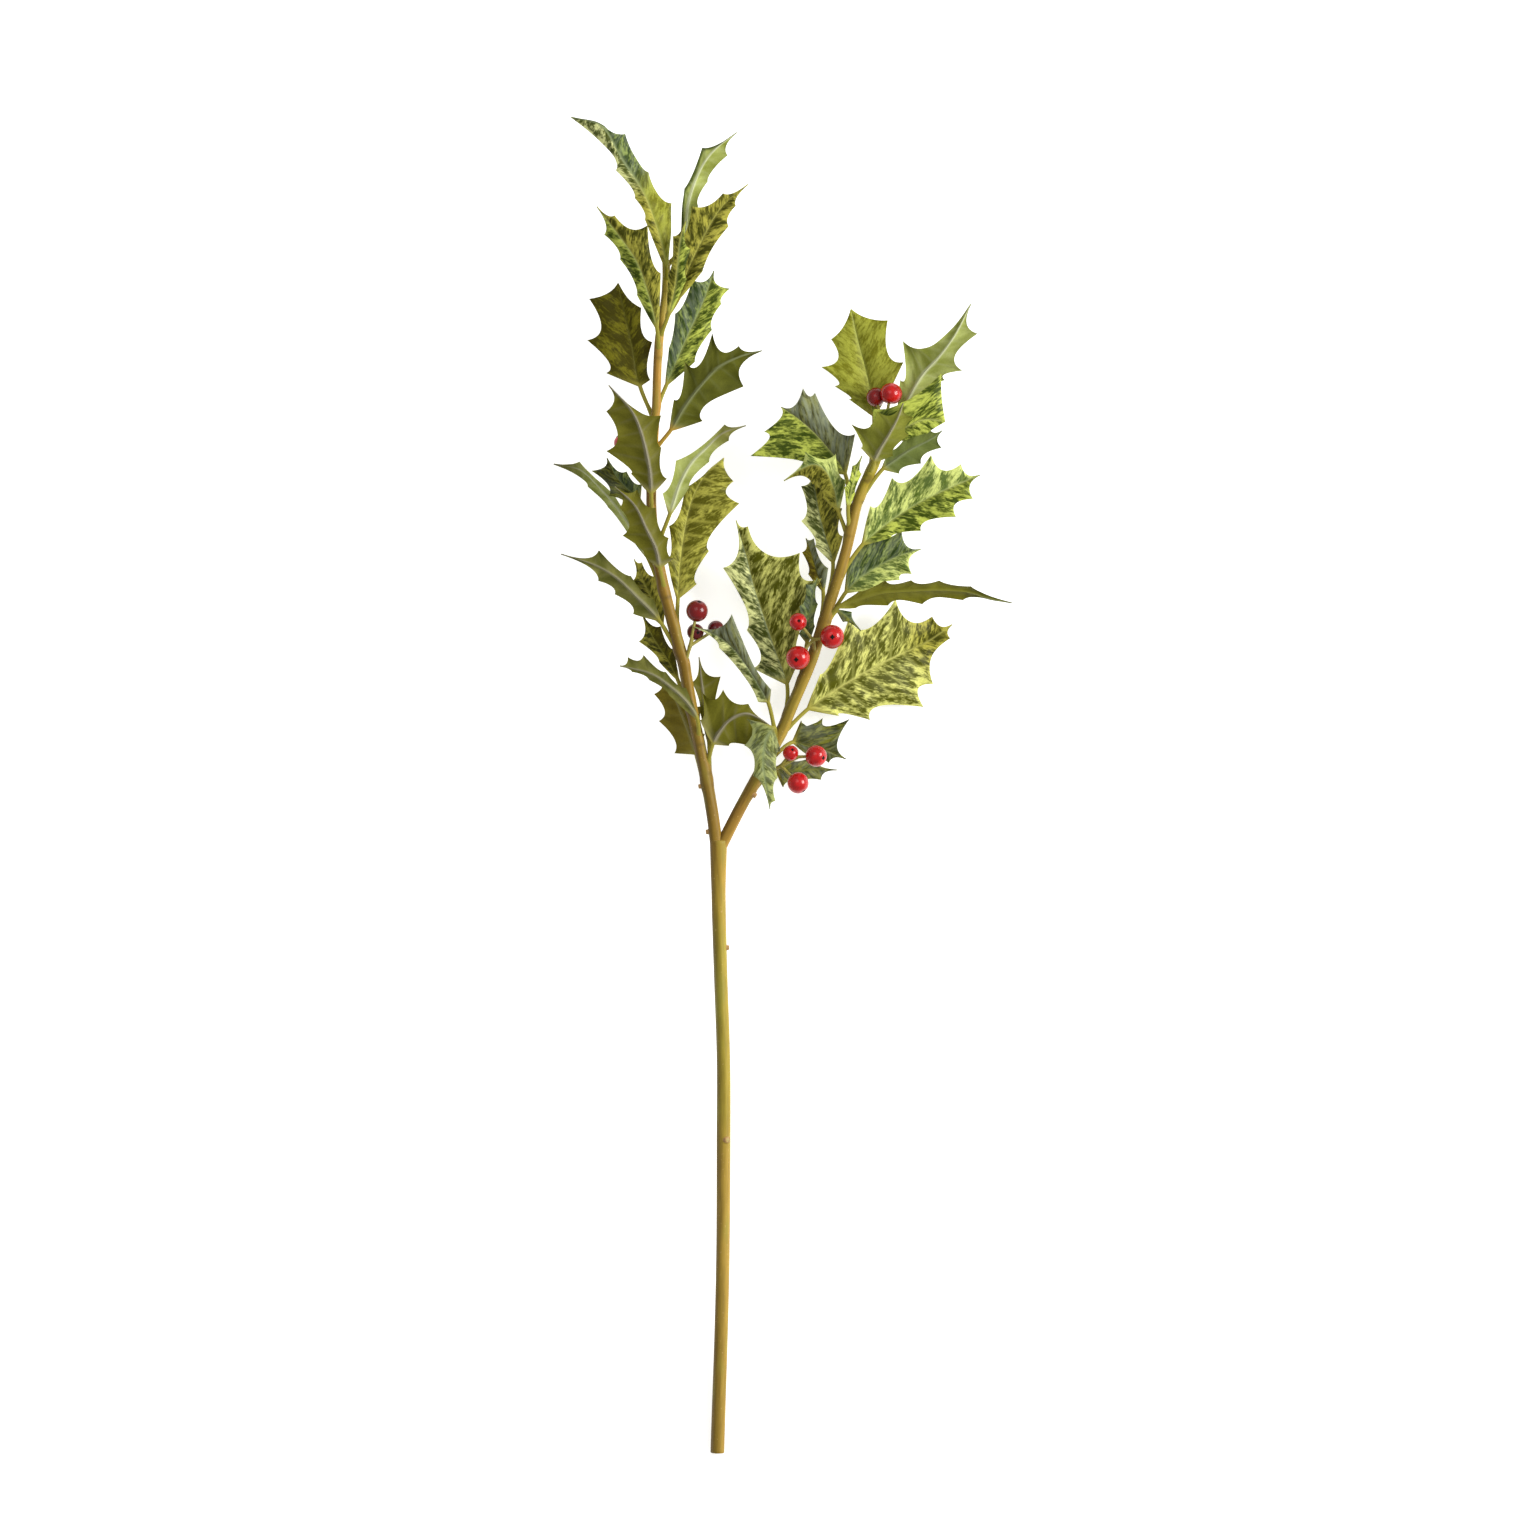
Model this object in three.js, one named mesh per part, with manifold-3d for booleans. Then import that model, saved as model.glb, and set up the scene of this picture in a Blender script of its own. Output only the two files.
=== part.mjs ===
// Holly sprig: a cut, forked twig with spined leaves and red berries, lying on a surface.
// Millimetres, +Z up. Every place below is measured from the fork of the twig: +X to the right,
// +Y towards the leafy ends, and Z from the surface that the sprig lies on.
import * as THREE from "three";
import { mergeVertices } from "three/addons/utils/BufferGeometryUtils.js";
import Module from "manifold-3d";

const wasm = await Module();
wasm.setup();

// ---- Driving dimensions ----
const BLADE_THICKNESS = 0.8;
const PETIOLE_HALF_WIDTH = 0.65;
const TIP_HALF_WIDTH = 0.3; // a leaf tip and a spine end this blunt
const SEAT_GAP = 0.3; // between a stalk and the bark that carries it
const VEIN_LEAN = 0.55; // how far a side vein runs forward for each mm it runs out
const SINUS_CUT = 0.6; // how far the margin is drawn in between two spines
const TIP_CUT = 0.85; // and between the last spine and the leaf's tip
const SINUS_LIMIT = 0.9; // the most that it is drawn in, as a share of the way between the spines
const SINUS_SHARE = 0.2; // low, so that the margin dips back behind each forward-pointing spine
const BASE_SWELL = -0.12; // the margin swells out between the stalk and the first spine
const ROW_STEP = 0.09; // widest spacing of the rows across a blade, as a share of its length
const ROW_MERGE = 0.012; // rows closer than this are one row
const SPINE_SPACING = 0.04; // least share of the midrib between two spines of one margin
const SHARE_STEPS = 120; // how finely the midrib is searched for the point nearest a spine
const TWIG_SIDES = 10;
const TWIG_STEP = 11; // length of one facet along the bark
const STALK_SIDES = 6;
const BERRY_SIDES = 12;

// ---- The twig: [x, y, z, radius] down the middle of each stretch ----
const STEM_LINE = [
  [-0.8, -306.5, 3.35, 3.5],
  [0.8, -254, 6.5, 3.4],
  [1.9, -200, 9.8, 3.4],
  [2.3, -150, 13, 3.5],
  [2.2, -110, 15.6, 3.4],
  [0.8, -66, 18.8, 3.4],
  [-0.2, -25, 22, 3.6],
  [-0.3, 1, 24, 4.4],
];
const LEFT_LINE = [
  [-0.5, -9, 23.2, 3.2],
  [-3.2, 13, 25.2, 3.1],
  [-7.8, 38.5, 27, 3],
  [-13.5, 66, 28.6, 3],
  [-18, 91, 30, 3],
  [-23.5, 111, 31, 2.9],
  [-29, 133.5, 32, 2.8],
  [-33.5, 161, 33, 2.6],
  [-33.5, 186, 33.6, 2.4],
  [-31.5, 216, 34.2, 2.1],
  [-30, 250, 34.6, 2.1],
  [-26.6, 276, 34.8, 2],
  [-27, 296, 35, 1.5],
];
const RIGHT_LINE = [
  [-1.5, -7, 23.4, 3.1],
  [9.5, 15, 25, 3],
  [19.5, 33.5, 26.2, 2.9],
  [29.5, 52, 27.6, 2.9],
  [38.5, 72.5, 29, 2.9],
  [46, 90, 30.2, 2.9],
  [50.5, 104, 31, 2.8],
  [56, 121, 32, 2.8],
  [62.2, 141, 32.8, 2.7],
  [66, 156, 33.4, 2.6],
  [69.5, 171, 34, 2.6],
  [75, 184, 34.6, 2.5],
  [80, 194, 35, 2.2],
];

const vector = ([x, y, z]) => new THREE.Vector3(x, y, z);
const smooth = (points) => new THREE.CatmullRomCurve3(points, false, "centripetal");

/** A stretch of twig: its smooth centre line and its radius at any y. */
function makeTwig(line) {
  const radiusAt = (y) => {
    const next = line.findIndex((row) => row[1] > y);
    if (next < 0) return line.at(-1)[3];
    if (next === 0) return line[0][3];
    const [a, b] = [line[next - 1], line[next]];
    return THREE.MathUtils.mapLinear(y, a[1], b[1], a[3], b[3]);
  };
  return { curve: smooth(line.map(vector)), radiusAt };
}

const STEM = makeTwig(STEM_LINE);
const TWIGS = { left: makeTwig(LEFT_LINE), right: makeTwig(RIGHT_LINE), stem: STEM };

/** Where the twig's centre line passes y, and the directions across it and up from it there. */
function stationOn(twig, y) {
  let [low, high] = [0, 1];
  while (high - low > 1e-4) {
    const middle = (low + high) / 2;
    if (twig.curve.getPoint(middle).y < y) low = middle;
    else high = middle;
  }
  const along = twig.curve.getTangent(low);
  const across = along.clone().cross(new THREE.Vector3(0, 0, 1)).normalize();
  return { centre: twig.curve.getPoint(low), across, up: across.clone().cross(along) };
}

/** A point off the bark: clock 0 is the twig's right side, 90 its top, 180 its left side. */
function offBark(twig, y, clock, standOff) {
  const { centre, across, up } = stationOn(twig, y);
  const angle = THREE.MathUtils.degToRad(clock);
  const reach = twig.radiusAt(y) + standOff;
  const out = across.multiplyScalar(Math.cos(angle)).addScaledVector(up, Math.sin(angle));
  return centre.addScaledVector(out, reach);
}

// ---- The leaves ----
// at and clock: where the stalk leaves the twig. rib: the midrib, from the blade's base to its
// tip. left and right: the spine tips [x, y] of each margin, base first, as seen when looking
// along the midrib. roll: degrees that the right half is turned up. fold: degrees that both
// halves are turned up. wave: mm by which the spines go up and down in turn. cut and tipCut: how
// far the margin is drawn in, where it isn't SINUS_CUT and TIP_CUT.
const LEAVES = {
  leaf_l01: {
    twig: "left", at: 281, clock: 95, roll: -25, fold: -15, wave: 0.6, tipCut: 1.2,
    rib: [[-26.3, 287, 38], [-28.3, 298, 38.3], [-32.3, 311, 37.9], [-37.5, 324, 38], [-49, 342, 37],
      [-59, 358, 33], [-74, 362.5, 28]],
    left: [[-37, 311], [-42, 321.5], [-51.5, 335.5]],
    right: [[-23.5, 319.5], [-35, 335], [-46.7, 354.2]],
  },
  leaf_l03: {
    twig: "left", at: 290, clock: 0, roll: -30, fold: 0, wave: 0.6,
    rib: [[-18.5, 298, 31], [-15, 321, 32], [-8, 338.5, 35], [-1, 347, 36], [9, 354.5, 36]],
    left: [[-17.5, 326.5], [-8.5, 347]],
    right: [[-10.5, 318], [-5.5, 330], [4.5, 343]],
  },
  leaf_l04: {
    twig: "left", at: 262, clock: 30, roll: 5, fold: 10, wave: 0.8, cut: 0.45,
    rib: [[-20, 272, 38], [-16, 283.5, 39], [-8, 301, 40], [1.5, 317, 40], [14.5, 328.5, 38]],
    left: [[-21, 301], [-13.7, 317.5], [2, 324]],
    right: [[-8, 285], [4.8, 307.5], [8.5, 317.5]],
  },
  leaf_l05: {
    twig: "left", at: 254, clock: 85, roll: 10, fold: -10, wave: 0.4,
    rib: [[-25, 264, 41], [-21.8, 277, 43.5], [-20.5, 289, 45], [-19.3, 300, 45], [-16.5, 310, 44]],
    left: [[-25.2, 284], [-23, 302.5]],
    right: [[-16, 281], [-14, 296]],
  },
  leaf_l06: {
    twig: "left", at: 247, clock: 60, roll: 15, fold: -8, wave: 0.6,
    rib: [[-31, 257, 41], [-35, 273.5, 42], [-41, 290, 41], [-49.5, 302.5, 38], [-61, 317.5, 34]],
    left: [[-41, 273], [-49.5, 291], [-57.5, 303.5]],
    right: [[-29, 284], [-35.5, 308], [-52, 313]],
  },
  leaf_l07: {
    twig: "left", at: 214, clock: 180, roll: 12, fold: 8, wave: 0.8, tipCut: 0.4,
    rib: [[-39.5, 228, 30], [-43.5, 248.5, 28], [-47, 265, 27], [-50.5, 279.5, 26]],
    left: [[-56.5, 234.5], [-66, 251], [-65, 271.7]],
    right: [[-34.2, 231], [-33.5, 250], [-39, 267]],
  },
  leaf_l08: {
    twig: "left", at: 221, clock: 0, roll: -15, fold: 5, wave: 0.6, cut: 0.35,
    rib: [[-26, 229, 33], [-15.5, 253.5, 33], [-8.5, 268.5, 33], [-2.5, 285.5, 33]],
    left: [[-25, 247], [-22, 264], [-13.5, 281]],
    right: [[-12, 240], [-3.5, 256], [1.2, 269], [5.5, 276.7]],
  },
  leaf_l09: {
    twig: "left", at: 199, clock: 0, roll: -10, fold: -12, wave: 0.8, cut: 0.9, tipCut: 0.9,
    rib: [[-24, 206, 34], [-17.5, 217, 36], [-9.5, 227.5, 38], [-0.5, 237, 38], [10.5, 242.5, 37],
      [21.5, 245.5, 35]],
    left: [[-22.5, 221], [-17, 240], [-3.3, 254.5], [10, 248]],
    right: [[-8, 210.3], [12.3, 227.8]],
  },
  leaf_l10: {
    twig: "left", at: 165, clock: 90, roll: 0, fold: -18, wave: 0.8,
    rib: [[-33.8, 174, 41], [-34.5, 186, 44], [-38, 202, 46], [-43, 214.5, 46], [-55, 228, 43]],
    left: [[-44, 184], [-56.3, 195.3], [-56.3, 215]],
    right: [[-26, 181.5], [-28.5, 197], [-29, 213]],
  },
  leaf_l11: {
    twig: "left", at: 129, clock: 190, roll: 55, fold: 0, wave: 0.4,
    rib: [[-36, 143, 27], [-49.5, 165, 20], [-59.5, 177, 14], [-69.5, 186.5, 7.5], [-83, 189.5, 0]],
    left: [[-45, 153], [-56, 167.5], [-66, 178]],
    right: [[-39, 154], [-53, 175], [-70, 190.7]],
  },
  leaf_l12: {
    twig: "left", at: 128, clock: 80, roll: 0, fold: -15, wave: 0.7,
    rib: [[-29.5, 137, 38], [-31.5, 146.5, 40], [-36, 156, 42], [-42, 168, 42], [-52, 177.5, 40]],
    left: [[-37.5, 143], [-48, 153.2], [-49.5, 167]],
    right: [[-22.5, 141.5], [-25.2, 152], [-31.5, 167], [-41, 176]],
  },
  leaf_l13: {
    twig: "left", at: 160, clock: 180, roll: 5, fold: 12, wave: 0.6,
    rib: [[-40, 171, 31], [-47, 177.5, 30], [-52, 183.5, 29], [-56, 192, 28]],
    left: [[-45, 166], [-55, 173], [-63.8, 185.7]],
    right: [[-38.5, 179], [-46.3, 185.3]],
  },
  leaf_l14: {
    twig: "left", at: 151, clock: 20, roll: -15, fold: 0, wave: 0.5,
    rib: [[-24.5, 164, 37], [-19, 180, 40], [-13.5, 189.5, 41], [-6.5, 196.5, 41], [1.5, 204, 40],
      [13.5, 208, 38]],
    left: [[-28, 174], [-21.5, 190.5], [3, 208.5]],
    right: [[-15, 177], [-5, 190], [5, 200.5]],
  },
  leaf_l15: {
    twig: "left", at: 111, clock: 0, roll: -8, fold: 10, wave: 0.8, tipCut: 0.45,
    rib: [[-20.5, 122, 30], [-19.5, 138, 29], [-17.5, 153.5, 29], [-13.5, 171, 30],
      [-6.5, 184, 31], [2.5, 192, 31]],
    left: [[-26, 141], [-25, 158], [-17, 177]],
    right: [[-11, 129], [-5, 145.5], [10.2, 169.2], [7.3, 180.3]],
  },
  leaf_l16: {
    twig: "left", at: 99, clock: 175, roll: 10, fold: -10, wave: 0.6, tipCut: 1,
    rib: [[-30, 111, 31], [-41.5, 123, 31], [-51, 132, 30], [-61, 138, 28], [-79, 144, 25]],
    left: [[-43, 114], [-52, 124], [-60.5, 130.5]],
    right: [[-33, 121.5], [-44, 133], [-60, 146]],
  },
  leaf_l17: {
    twig: "left", at: 98, clock: 215, roll: 8, fold: 5, wave: 0.5,
    rib: [[-28.5, 109, 25], [-32, 118.5, 23], [-37, 128.5, 21], [-42.5, 141.5, 19]],
    left: [[-39.5, 118], [-44.5, 130]],
    right: [[-27, 120], [-31, 133], [-38.5, 140]],
  },
  leaf_l18: {
    twig: "left", at: 70, clock: 180, roll: 10, fold: 10, wave: 0.5,
    rib: [[-21, 82, 25], [-26, 92, 22.5], [-32, 101, 21], [-39, 115, 19]],
    left: [[-30, 90], [-40.2, 100.3]],
    right: [[-22.5, 96], [-29, 108]],
  },
  leaf_l19: {
    twig: "left", at: 54, clock: 70, roll: 15, fold: -5, wave: 0.5,
    rib: [[-11, 62, 35], [-16, 70, 37], [-23.5, 77, 37], [-33.5, 84, 35], [-49.5, 88, 31]],
    left: [[-25, 73.5], [-35, 81], [-43.5, 85]],
    right: [[-16.5, 77], [-26.5, 85], [-37.7, 93.5], [-45.5, 92.5]],
  },
  leaf_l20: {
    twig: "left", at: 32, clock: 200, roll: 15, fold: 5, wave: 0.5,
    rib: [[-11.5, 44, 21], [-14, 52, 19], [-18.5, 63.5, 16], [-23.5, 75, 13], [-29.5, 84, 11]],
    left: [[-22.5, 44.5], [-30.2, 60.5], [-32.5, 74]],
    right: [[-7, 54], [-9, 68], [-17, 78]],
  },
  leaf_l21: {
    twig: "left", at: 34, clock: 345, roll: -5, fold: 12, wave: 0.5,
    rib: [[-5, 50, 26], [-6.5, 63.5, 25], [-8.5, 78.5, 25], [-10, 92.5, 26]],
    left: [[-9.5, 66], [-13.5, 80]],
    right: [[-1, 62], [0.8, 82.8]],
  },
  leaf_l22: {
    twig: "left", at: 40, clock: 15, roll: 0, fold: -10, wave: 0.8, cut: 0.45, tipCut: 0.6,
    rib: [[-3, 49, 31], [1, 56, 33], [6, 61.5, 33.5], [12.5, 64.2, 33], [19, 62.5, 32],
      [25, 58.5, 30]],
    left: [[-9.5, 61], [-8.4, 75], [2, 76.5], [14.6, 69]],
    right: [[5, 48], [14, 48.2]],
  },
  leaf_r01: {
    twig: "right", at: 52, clock: 90, roll: 0, fold: -12, wave: 0.8,
    rib: [[27.5, 57, 38], [23.5, 51.5, 40], [22, 40, 40], [23.5, 28.5, 38], [25.5, 16.5, 35]],
    left: [[31, 45], [29.5, 32], [28.3, 20.5]],
    right: [[13.8, 61.5], [12.7, 48.2], [17, 33]],
  },
  leaf_r02: {
    twig: "right", at: 55, clock: 150, roll: 15, fold: 8, wave: 0.5, cut: 0.25,
    rib: [[24.5, 70, 33], [19.5, 79.5, 34], [14.5, 87, 35], [8, 96, 36], [-1.5, 103.5, 36],
      [-12, 107.5, 35]],
    left: [[19.5, 70], [12.7, 82.5], [0, 97]],
    right: [[26, 76], [17, 89], [6.5, 114]],
  },
  leaf_r03: {
    twig: "right", at: 68, clock: 195, roll: 5, fold: 8, wave: 1, cut: 0.7, tipCut: 0.9,
    rib: [[34, 79, 25], [28.5, 95, 21], [24.5, 106.5, 19], [20.5, 118.5, 18], [17, 129.5, 18],
      [14.5, 140, 19], [8.5, 161, 22]],
    left: [[17, 87], [13.8, 106], [1.8, 137.2]],
    right: [[42, 96], [43, 112], [51.5, 132], [40.5, 144.7], [14.5, 158]],
  },
  leaf_r04: {
    twig: "right", at: 113, clock: 215, roll: 10, fold: 15, wave: 0.5,
    rib: [[52, 126, 22], [49, 135, 20], [46.5, 143.5, 19], [43.5, 152, 18]],
    left: [[44.5, 134], [41.5, 145]],
    right: [[54.5, 137], [47.5, 152]],
  },
  leaf_r05: {
    twig: "right", at: 124, clock: 200, roll: 10, fold: 10, wave: 0.5,
    rib: [[57, 140, 28], [53.5, 152, 26], [50.5, 163.5, 24], [46.5, 186, 22]],
    left: [[48, 148], [41, 160.5], [41, 178]],
    right: [[62, 153], [61.5, 167], [58.5, 181]],
  },
  leaf_r06: {
    twig: "right", at: 156, clock: 175, roll: 0, fold: -12, wave: 0.5,
    rib: [[59.5, 166, 34], [57.5, 176, 36], [53.5, 185, 38], [48, 188.5, 38], [40.5, 186, 36],
      [32.5, 180.5, 33]],
    left: [[51.5, 172], [46.5, 179]],
    right: [[63.5, 181], [58.5, 194], [43, 195]],
  },
  leaf_r07: {
    twig: "right", at: 164, clock: 185, roll: 0, fold: 8, wave: 1, cut: 0.7,
    rib: [[63, 184, 30], [51.5, 200.5, 28], [40.5, 211, 27], [31, 217.5, 27]],
    left: [[45, 186], [15.7, 193], [22.5, 205]],
    right: [[68, 204], [48, 224.7], [42, 227]],
  },
  leaf_r08: {
    twig: "right", at: 158, clock: 120, roll: -50, fold: 0, wave: 0.3,
    rib: [[64.5, 168, 38], [66.5, 178, 40], [69, 187, 40], [71.5, 193, 40]],
    left: [[63, 177], [66.5, 188]],
    right: [[68, 174], [71, 184]],
  },
  leaf_r09: {
    twig: "right", at: 190, clock: 240, roll: 0, fold: 8, wave: 1, tipCut: 0.3,
    rib: [[77.5, 213, 26.5], [76, 224, 23], [73.5, 236, 22], [69.5, 251, 22.5], [66, 266.5, 24.5]],
    left: [[65, 221.5], [58, 228], [51, 237.5], [56, 251.5]],
    right: [[92.5, 240], [84.5, 261]],
  },
  leaf_r10: {
    twig: "right", at: 191, clock: 330, roll: 5, fold: -5, wave: 0.8, cut: 0.9, tipCut: 1,
    rib: [[89.5, 208.5, 30], [95, 222, 29.5], [101.5, 233, 31], [110.5, 243, 34], [118, 253.5, 37],
      [126, 269, 39]],
    left: [[90.5, 231], [91.7, 250.7]],
    right: [[104, 222], [113, 231], [121.7, 235.5], [129.2, 254]],
  },
  leaf_r11: {
    twig: "right", at: 187, clock: 50, roll: 0, fold: 5, wave: 0.8, cut: 0.25, tipCut: 0.1,
    rib: [[87, 202, 39], [95, 208, 41], [103, 211, 41], [113, 210, 40]],
    left: [[75.5, 208], [76, 216.5], [91, 219.5], [111, 234]],
    right: [[93, 200], [104, 204]],
  },
  leaf_r12: {
    twig: "right", at: 186, clock: 90, roll: 0, fold: -15, wave: 0.8,
    rib: [[77.5, 190, 43], [80.5, 196, 45], [85, 203.5, 47], [89.5, 212, 48], [92, 219, 47]],
    left: [[70.5, 197], [66, 208.7], [79, 215]],
    right: [[87, 193], [95, 203], [97, 212]],
  },
  leaf_r13: {
    twig: "right", at: 176, clock: 0, roll: 0, fold: 5, wave: 0.6,
    rib: [[82, 186.5, 35], [88, 191, 35], [95.5, 196, 35], [105.5, 201, 35], [111.5, 205.5, 35]],
    left: [[85, 196], [94, 203.5], [104, 208]],
    right: [[90, 184], [101, 189], [111.3, 197]],
  },
  leaf_r14: {
    twig: "right", at: 139, clock: 0, roll: -5, fold: 8, wave: 1,
    rib: [[72, 149, 32], [76.5, 153, 31], [86.5, 161, 30], [98, 168.5, 30], [113, 176, 31],
      [130.5, 183.5, 32]],
    left: [[75.5, 168], [86.5, 182], [106, 193.5], [121, 189]],
    right: [[86, 152], [101, 155.5], [118.5, 162.5], [127, 171.5]],
  },
  leaf_r15: {
    twig: "right", at: 113, clock: 340, roll: 0, fold: 8, wave: 0.8, cut: 0.4,
    rib: [[63.5, 125, 26], [68, 130, 25], [78, 137, 23], [89.5, 143, 22], [101, 146.5, 21]],
    left: [[64.5, 141], [75, 154], [91.5, 156]],
    right: [[79, 127], [90.5, 131], [96.5, 134]],
  },
  leaf_r16: {
    twig: "right", at: 116, clock: 20, roll: -50, fold: 0, wave: 0.5,
    rib: [[60, 117.5, 35], [69, 120.8, 36], [80, 124.2, 37], [95.5, 125.5, 37], [110.5, 126, 36],
      [124.5, 125, 34], [135.5, 121.5, 32], [146.5, 119.5, 30]],
    left: [[70, 125], [83, 131], [96, 130.3], [110, 130.8], [126, 128]],
    right: [[68.5, 116.8], [84.5, 118.5], [101.5, 119.3], [122, 121.3]],
  },
  leaf_r17: {
    twig: "right", at: 58, clock: 330, roll: -12, fold: 6, wave: 1.4,
    rib: [[44.5, 66.5, 23], [56.5, 75, 19.5], [68, 82, 15.5], [80.5, 89, 10.5], [93, 95, 4.5],
      [105.5, 101, -1], [117, 109, -2.5]],
    left: [[50.5, 84], [64.8, 112], [88.3, 121.7], [107, 113]],
    right: [[60, 63], [75.8, 61], [102.3, 67.5], [107.5, 79.2], [116, 102]],
  },
  leaf_r18: {
    twig: "right", at: 44, clock: 330, roll: -5, fold: 5, wave: 0.6,
    rib: [[37, 50, 20], [43, 48.5, 17], [53, 46, 12], [63.5, 41.5, 7]],
    left: [[41, 61], [52, 62], [65.5, 61.5]],
    right: [[45, 43], [55, 39.5]],
  },
  leaf_r19: {
    twig: "right", at: 29, clock: 335, roll: 0, fold: 5, wave: 0.6,
    rib: [[28, 36, 19], [38, 35.5, 14], [48, 36.5, 9], [59, 36, 5]],
    left: [[35, 42], [47, 42.5]],
    right: [[32, 27], [41, 28], [51, 31]],
  },
  leaf_r20: {
    twig: "right", at: 110, clock: 5, roll: 10, fold: 0, wave: 0.3,
    rib: [[59, 115.5, 31], [63, 113.2, 31], [67, 110, 30], [71, 105.5, 29]],
    left: [[66.5, 115]],
    right: [[62, 109.8]],
  },
  leaf_r21: {
    twig: "right", at: 84, clock: 190, roll: -10, fold: 10, wave: 0.4,
    rib: [[44, 100, 27], [45, 110, 27], [46.5, 121, 27.5], [49, 132, 27.5]],
    left: [[40, 104], [40, 118], [43.5, 129]],
    right: [[48, 108], [49.5, 119]],
  },
};

/** The share of the midrib's length that lies nearest a point in plan. */
function nearestShare(rib, x, y) {
  const shares = Array.from({ length: SHARE_STEPS + 1 }, (_, i) => i / SHARE_STEPS);
  const away = (share) => {
    const point = rib.getPointAt(share);
    return Math.hypot(point.x - x, point.y - y);
  };
  return shares.reduce((best, share) => (away(share) < away(best) ? share : best), 0);
}

/** The direction in plan from the midrib to its right-hand side. */
function rightOf(rib, share) {
  const along = rib.getTangentAt(share);
  return new THREE.Vector3(along.y, -along.x, 0).normalize();
}

/** The margin of one side: points the outline passes, each tied to a share of the midrib. */
function marginAnchors(leaf, rib, baseShare, side) {
  const length = rib.getLength();
  const slope = (degrees) => Math.tan(THREE.MathUtils.degToRad(degrees));
  const rise = side * slope(leaf.roll) + slope(leaf.fold);
  const beside = (share, reach) => rib.getPointAt(share).addScaledVector(rightOf(rib, share), side * reach);
  const anchors = [{ share: baseShare, point: beside(baseShare, PETIOLE_HALF_WIDTH) }];
  const spines = side < 0 ? leaf.left : leaf.right;
  spines.forEach(([x, y], index) => {
    const near = nearestShare(rib, x, y);
    const foot = rib.getPointAt(near);
    const reach = Math.hypot(x - foot.x, y - foot.y);
    const wave = leaf.wave * (index % 2 ? -1 : 1);
    const share = Math.max(near - (VEIN_LEAN * reach) / length, anchors.at(-1).share + SPINE_SPACING);
    anchors.push({ share, point: new THREE.Vector3(x, y, foot.z + rise * reach + wave) });
  });
  anchors.push({ share: 1, point: beside(1, TIP_HALF_WIDTH) });
  return anchors;
}

/** The margin's point beside one share of the midrib: concave arcs run from spine to spine. */
function marginAt(leaf, anchors, rib, share, side) {
  const outward = rightOf(rib, share).multiplyScalar(side);
  const middle = rib.getPointAt(share);
  if (share <= anchors[0].share) return middle.addScaledVector(outward, PETIOLE_HALF_WIDTH);
  const next = Math.min(anchors.findIndex((anchor) => anchor.share >= share), anchors.length - 1);
  const [from, to] = [anchors[next - 1], anchors[next]];
  const cuts = { 1: BASE_SWELL, [anchors.length - 1]: leaf.tipCut ?? TIP_CUT };
  const cut = cuts[next] ?? leaf.cut ?? SINUS_CUT;
  const bend = from.point.clone().lerp(to.point, 0.5);
  const pull = rib.getPointAt(THREE.MathUtils.lerp(from.share, to.share, SINUS_SHARE)).sub(bend);
  pull.multiplyScalar(cut).clampLength(0, SINUS_LIMIT * from.point.distanceTo(to.point));
  bend.add(pull);
  const run = (share - from.share) / (to.share - from.share);
  const point = new THREE.QuadraticBezierCurve3(from.point, bend, to.point).getPoint(run);
  const reach = point.clone().sub(middle).dot(outward);
  return point.addScaledVector(outward, Math.max(0, TIP_HALF_WIDTH - reach)); // never over the rib
}

/** Shares at which the blade has a row: at each spine, and no more than ROW_STEP apart. */
function rowShares(fixed) {
  const stops = [...new Set(fixed)].sort((a, b) => a - b);
  const shares = [0];
  for (const stop of stops.slice(1)) {
    const start = shares.at(-1);
    if (stop - start < ROW_MERGE && stop < 1) continue;
    const count = Math.ceil((stop - start) / ROW_STEP);
    for (let i = 1; i <= count; i++) shares.push(start + ((stop - start) * i) / count);
  }
  return shares;
}

/** A closed blade: rows of three points (margin, midrib, margin), thickened along its normals. */
function leafGeometry(leaf) {
  const root = offBark(TWIGS[leaf.twig], leaf.at, leaf.clock, SEAT_GAP + PETIOLE_HALF_WIDTH);
  const rib = smooth([root, ...leaf.rib.map(vector)]);
  const baseShare = nearestShare(rib, leaf.rib[0][0], leaf.rib[0][1]);
  const left = marginAnchors(leaf, rib, baseShare, -1);
  const right = marginAnchors(leaf, rib, baseShare, 1);
  const shares = rowShares([0, ...[...left, ...right].map((anchor) => anchor.share)]);
  const upper = [];
  const lower = [];
  for (const share of shares) {
    const along = rib.getTangentAt(share);
    const middle = rib.getPointAt(share);
    const edges = [marginAt(leaf, left, rib, share, -1), marginAt(leaf, right, rib, share, 1)];
    const faces = [
      along.clone().cross(edges[0].clone().sub(middle)).normalize(),
      edges[1].clone().sub(middle).cross(along).normalize(),
    ];
    const normals = [faces[0], faces[0].clone().add(faces[1]).normalize(), faces[1]];
    [edges[0], middle, edges[1]].forEach((point, column) => {
      const offset = normals[column].clone().multiplyScalar(BLADE_THICKNESS / 2);
      const top = point.clone().add(offset);
      const bottom = point.clone().sub(offset);
      if (bottom.z < 0) {
        bottom.z = 0; // a leaf that reaches the surface lies flat on it
        top.z = Math.max(top.z, BLADE_THICKNESS);
      }
      upper.push(top);
      lower.push(bottom);
    });
  }
  return closedSheet(upper, lower, shares.length, 3);
}

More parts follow.
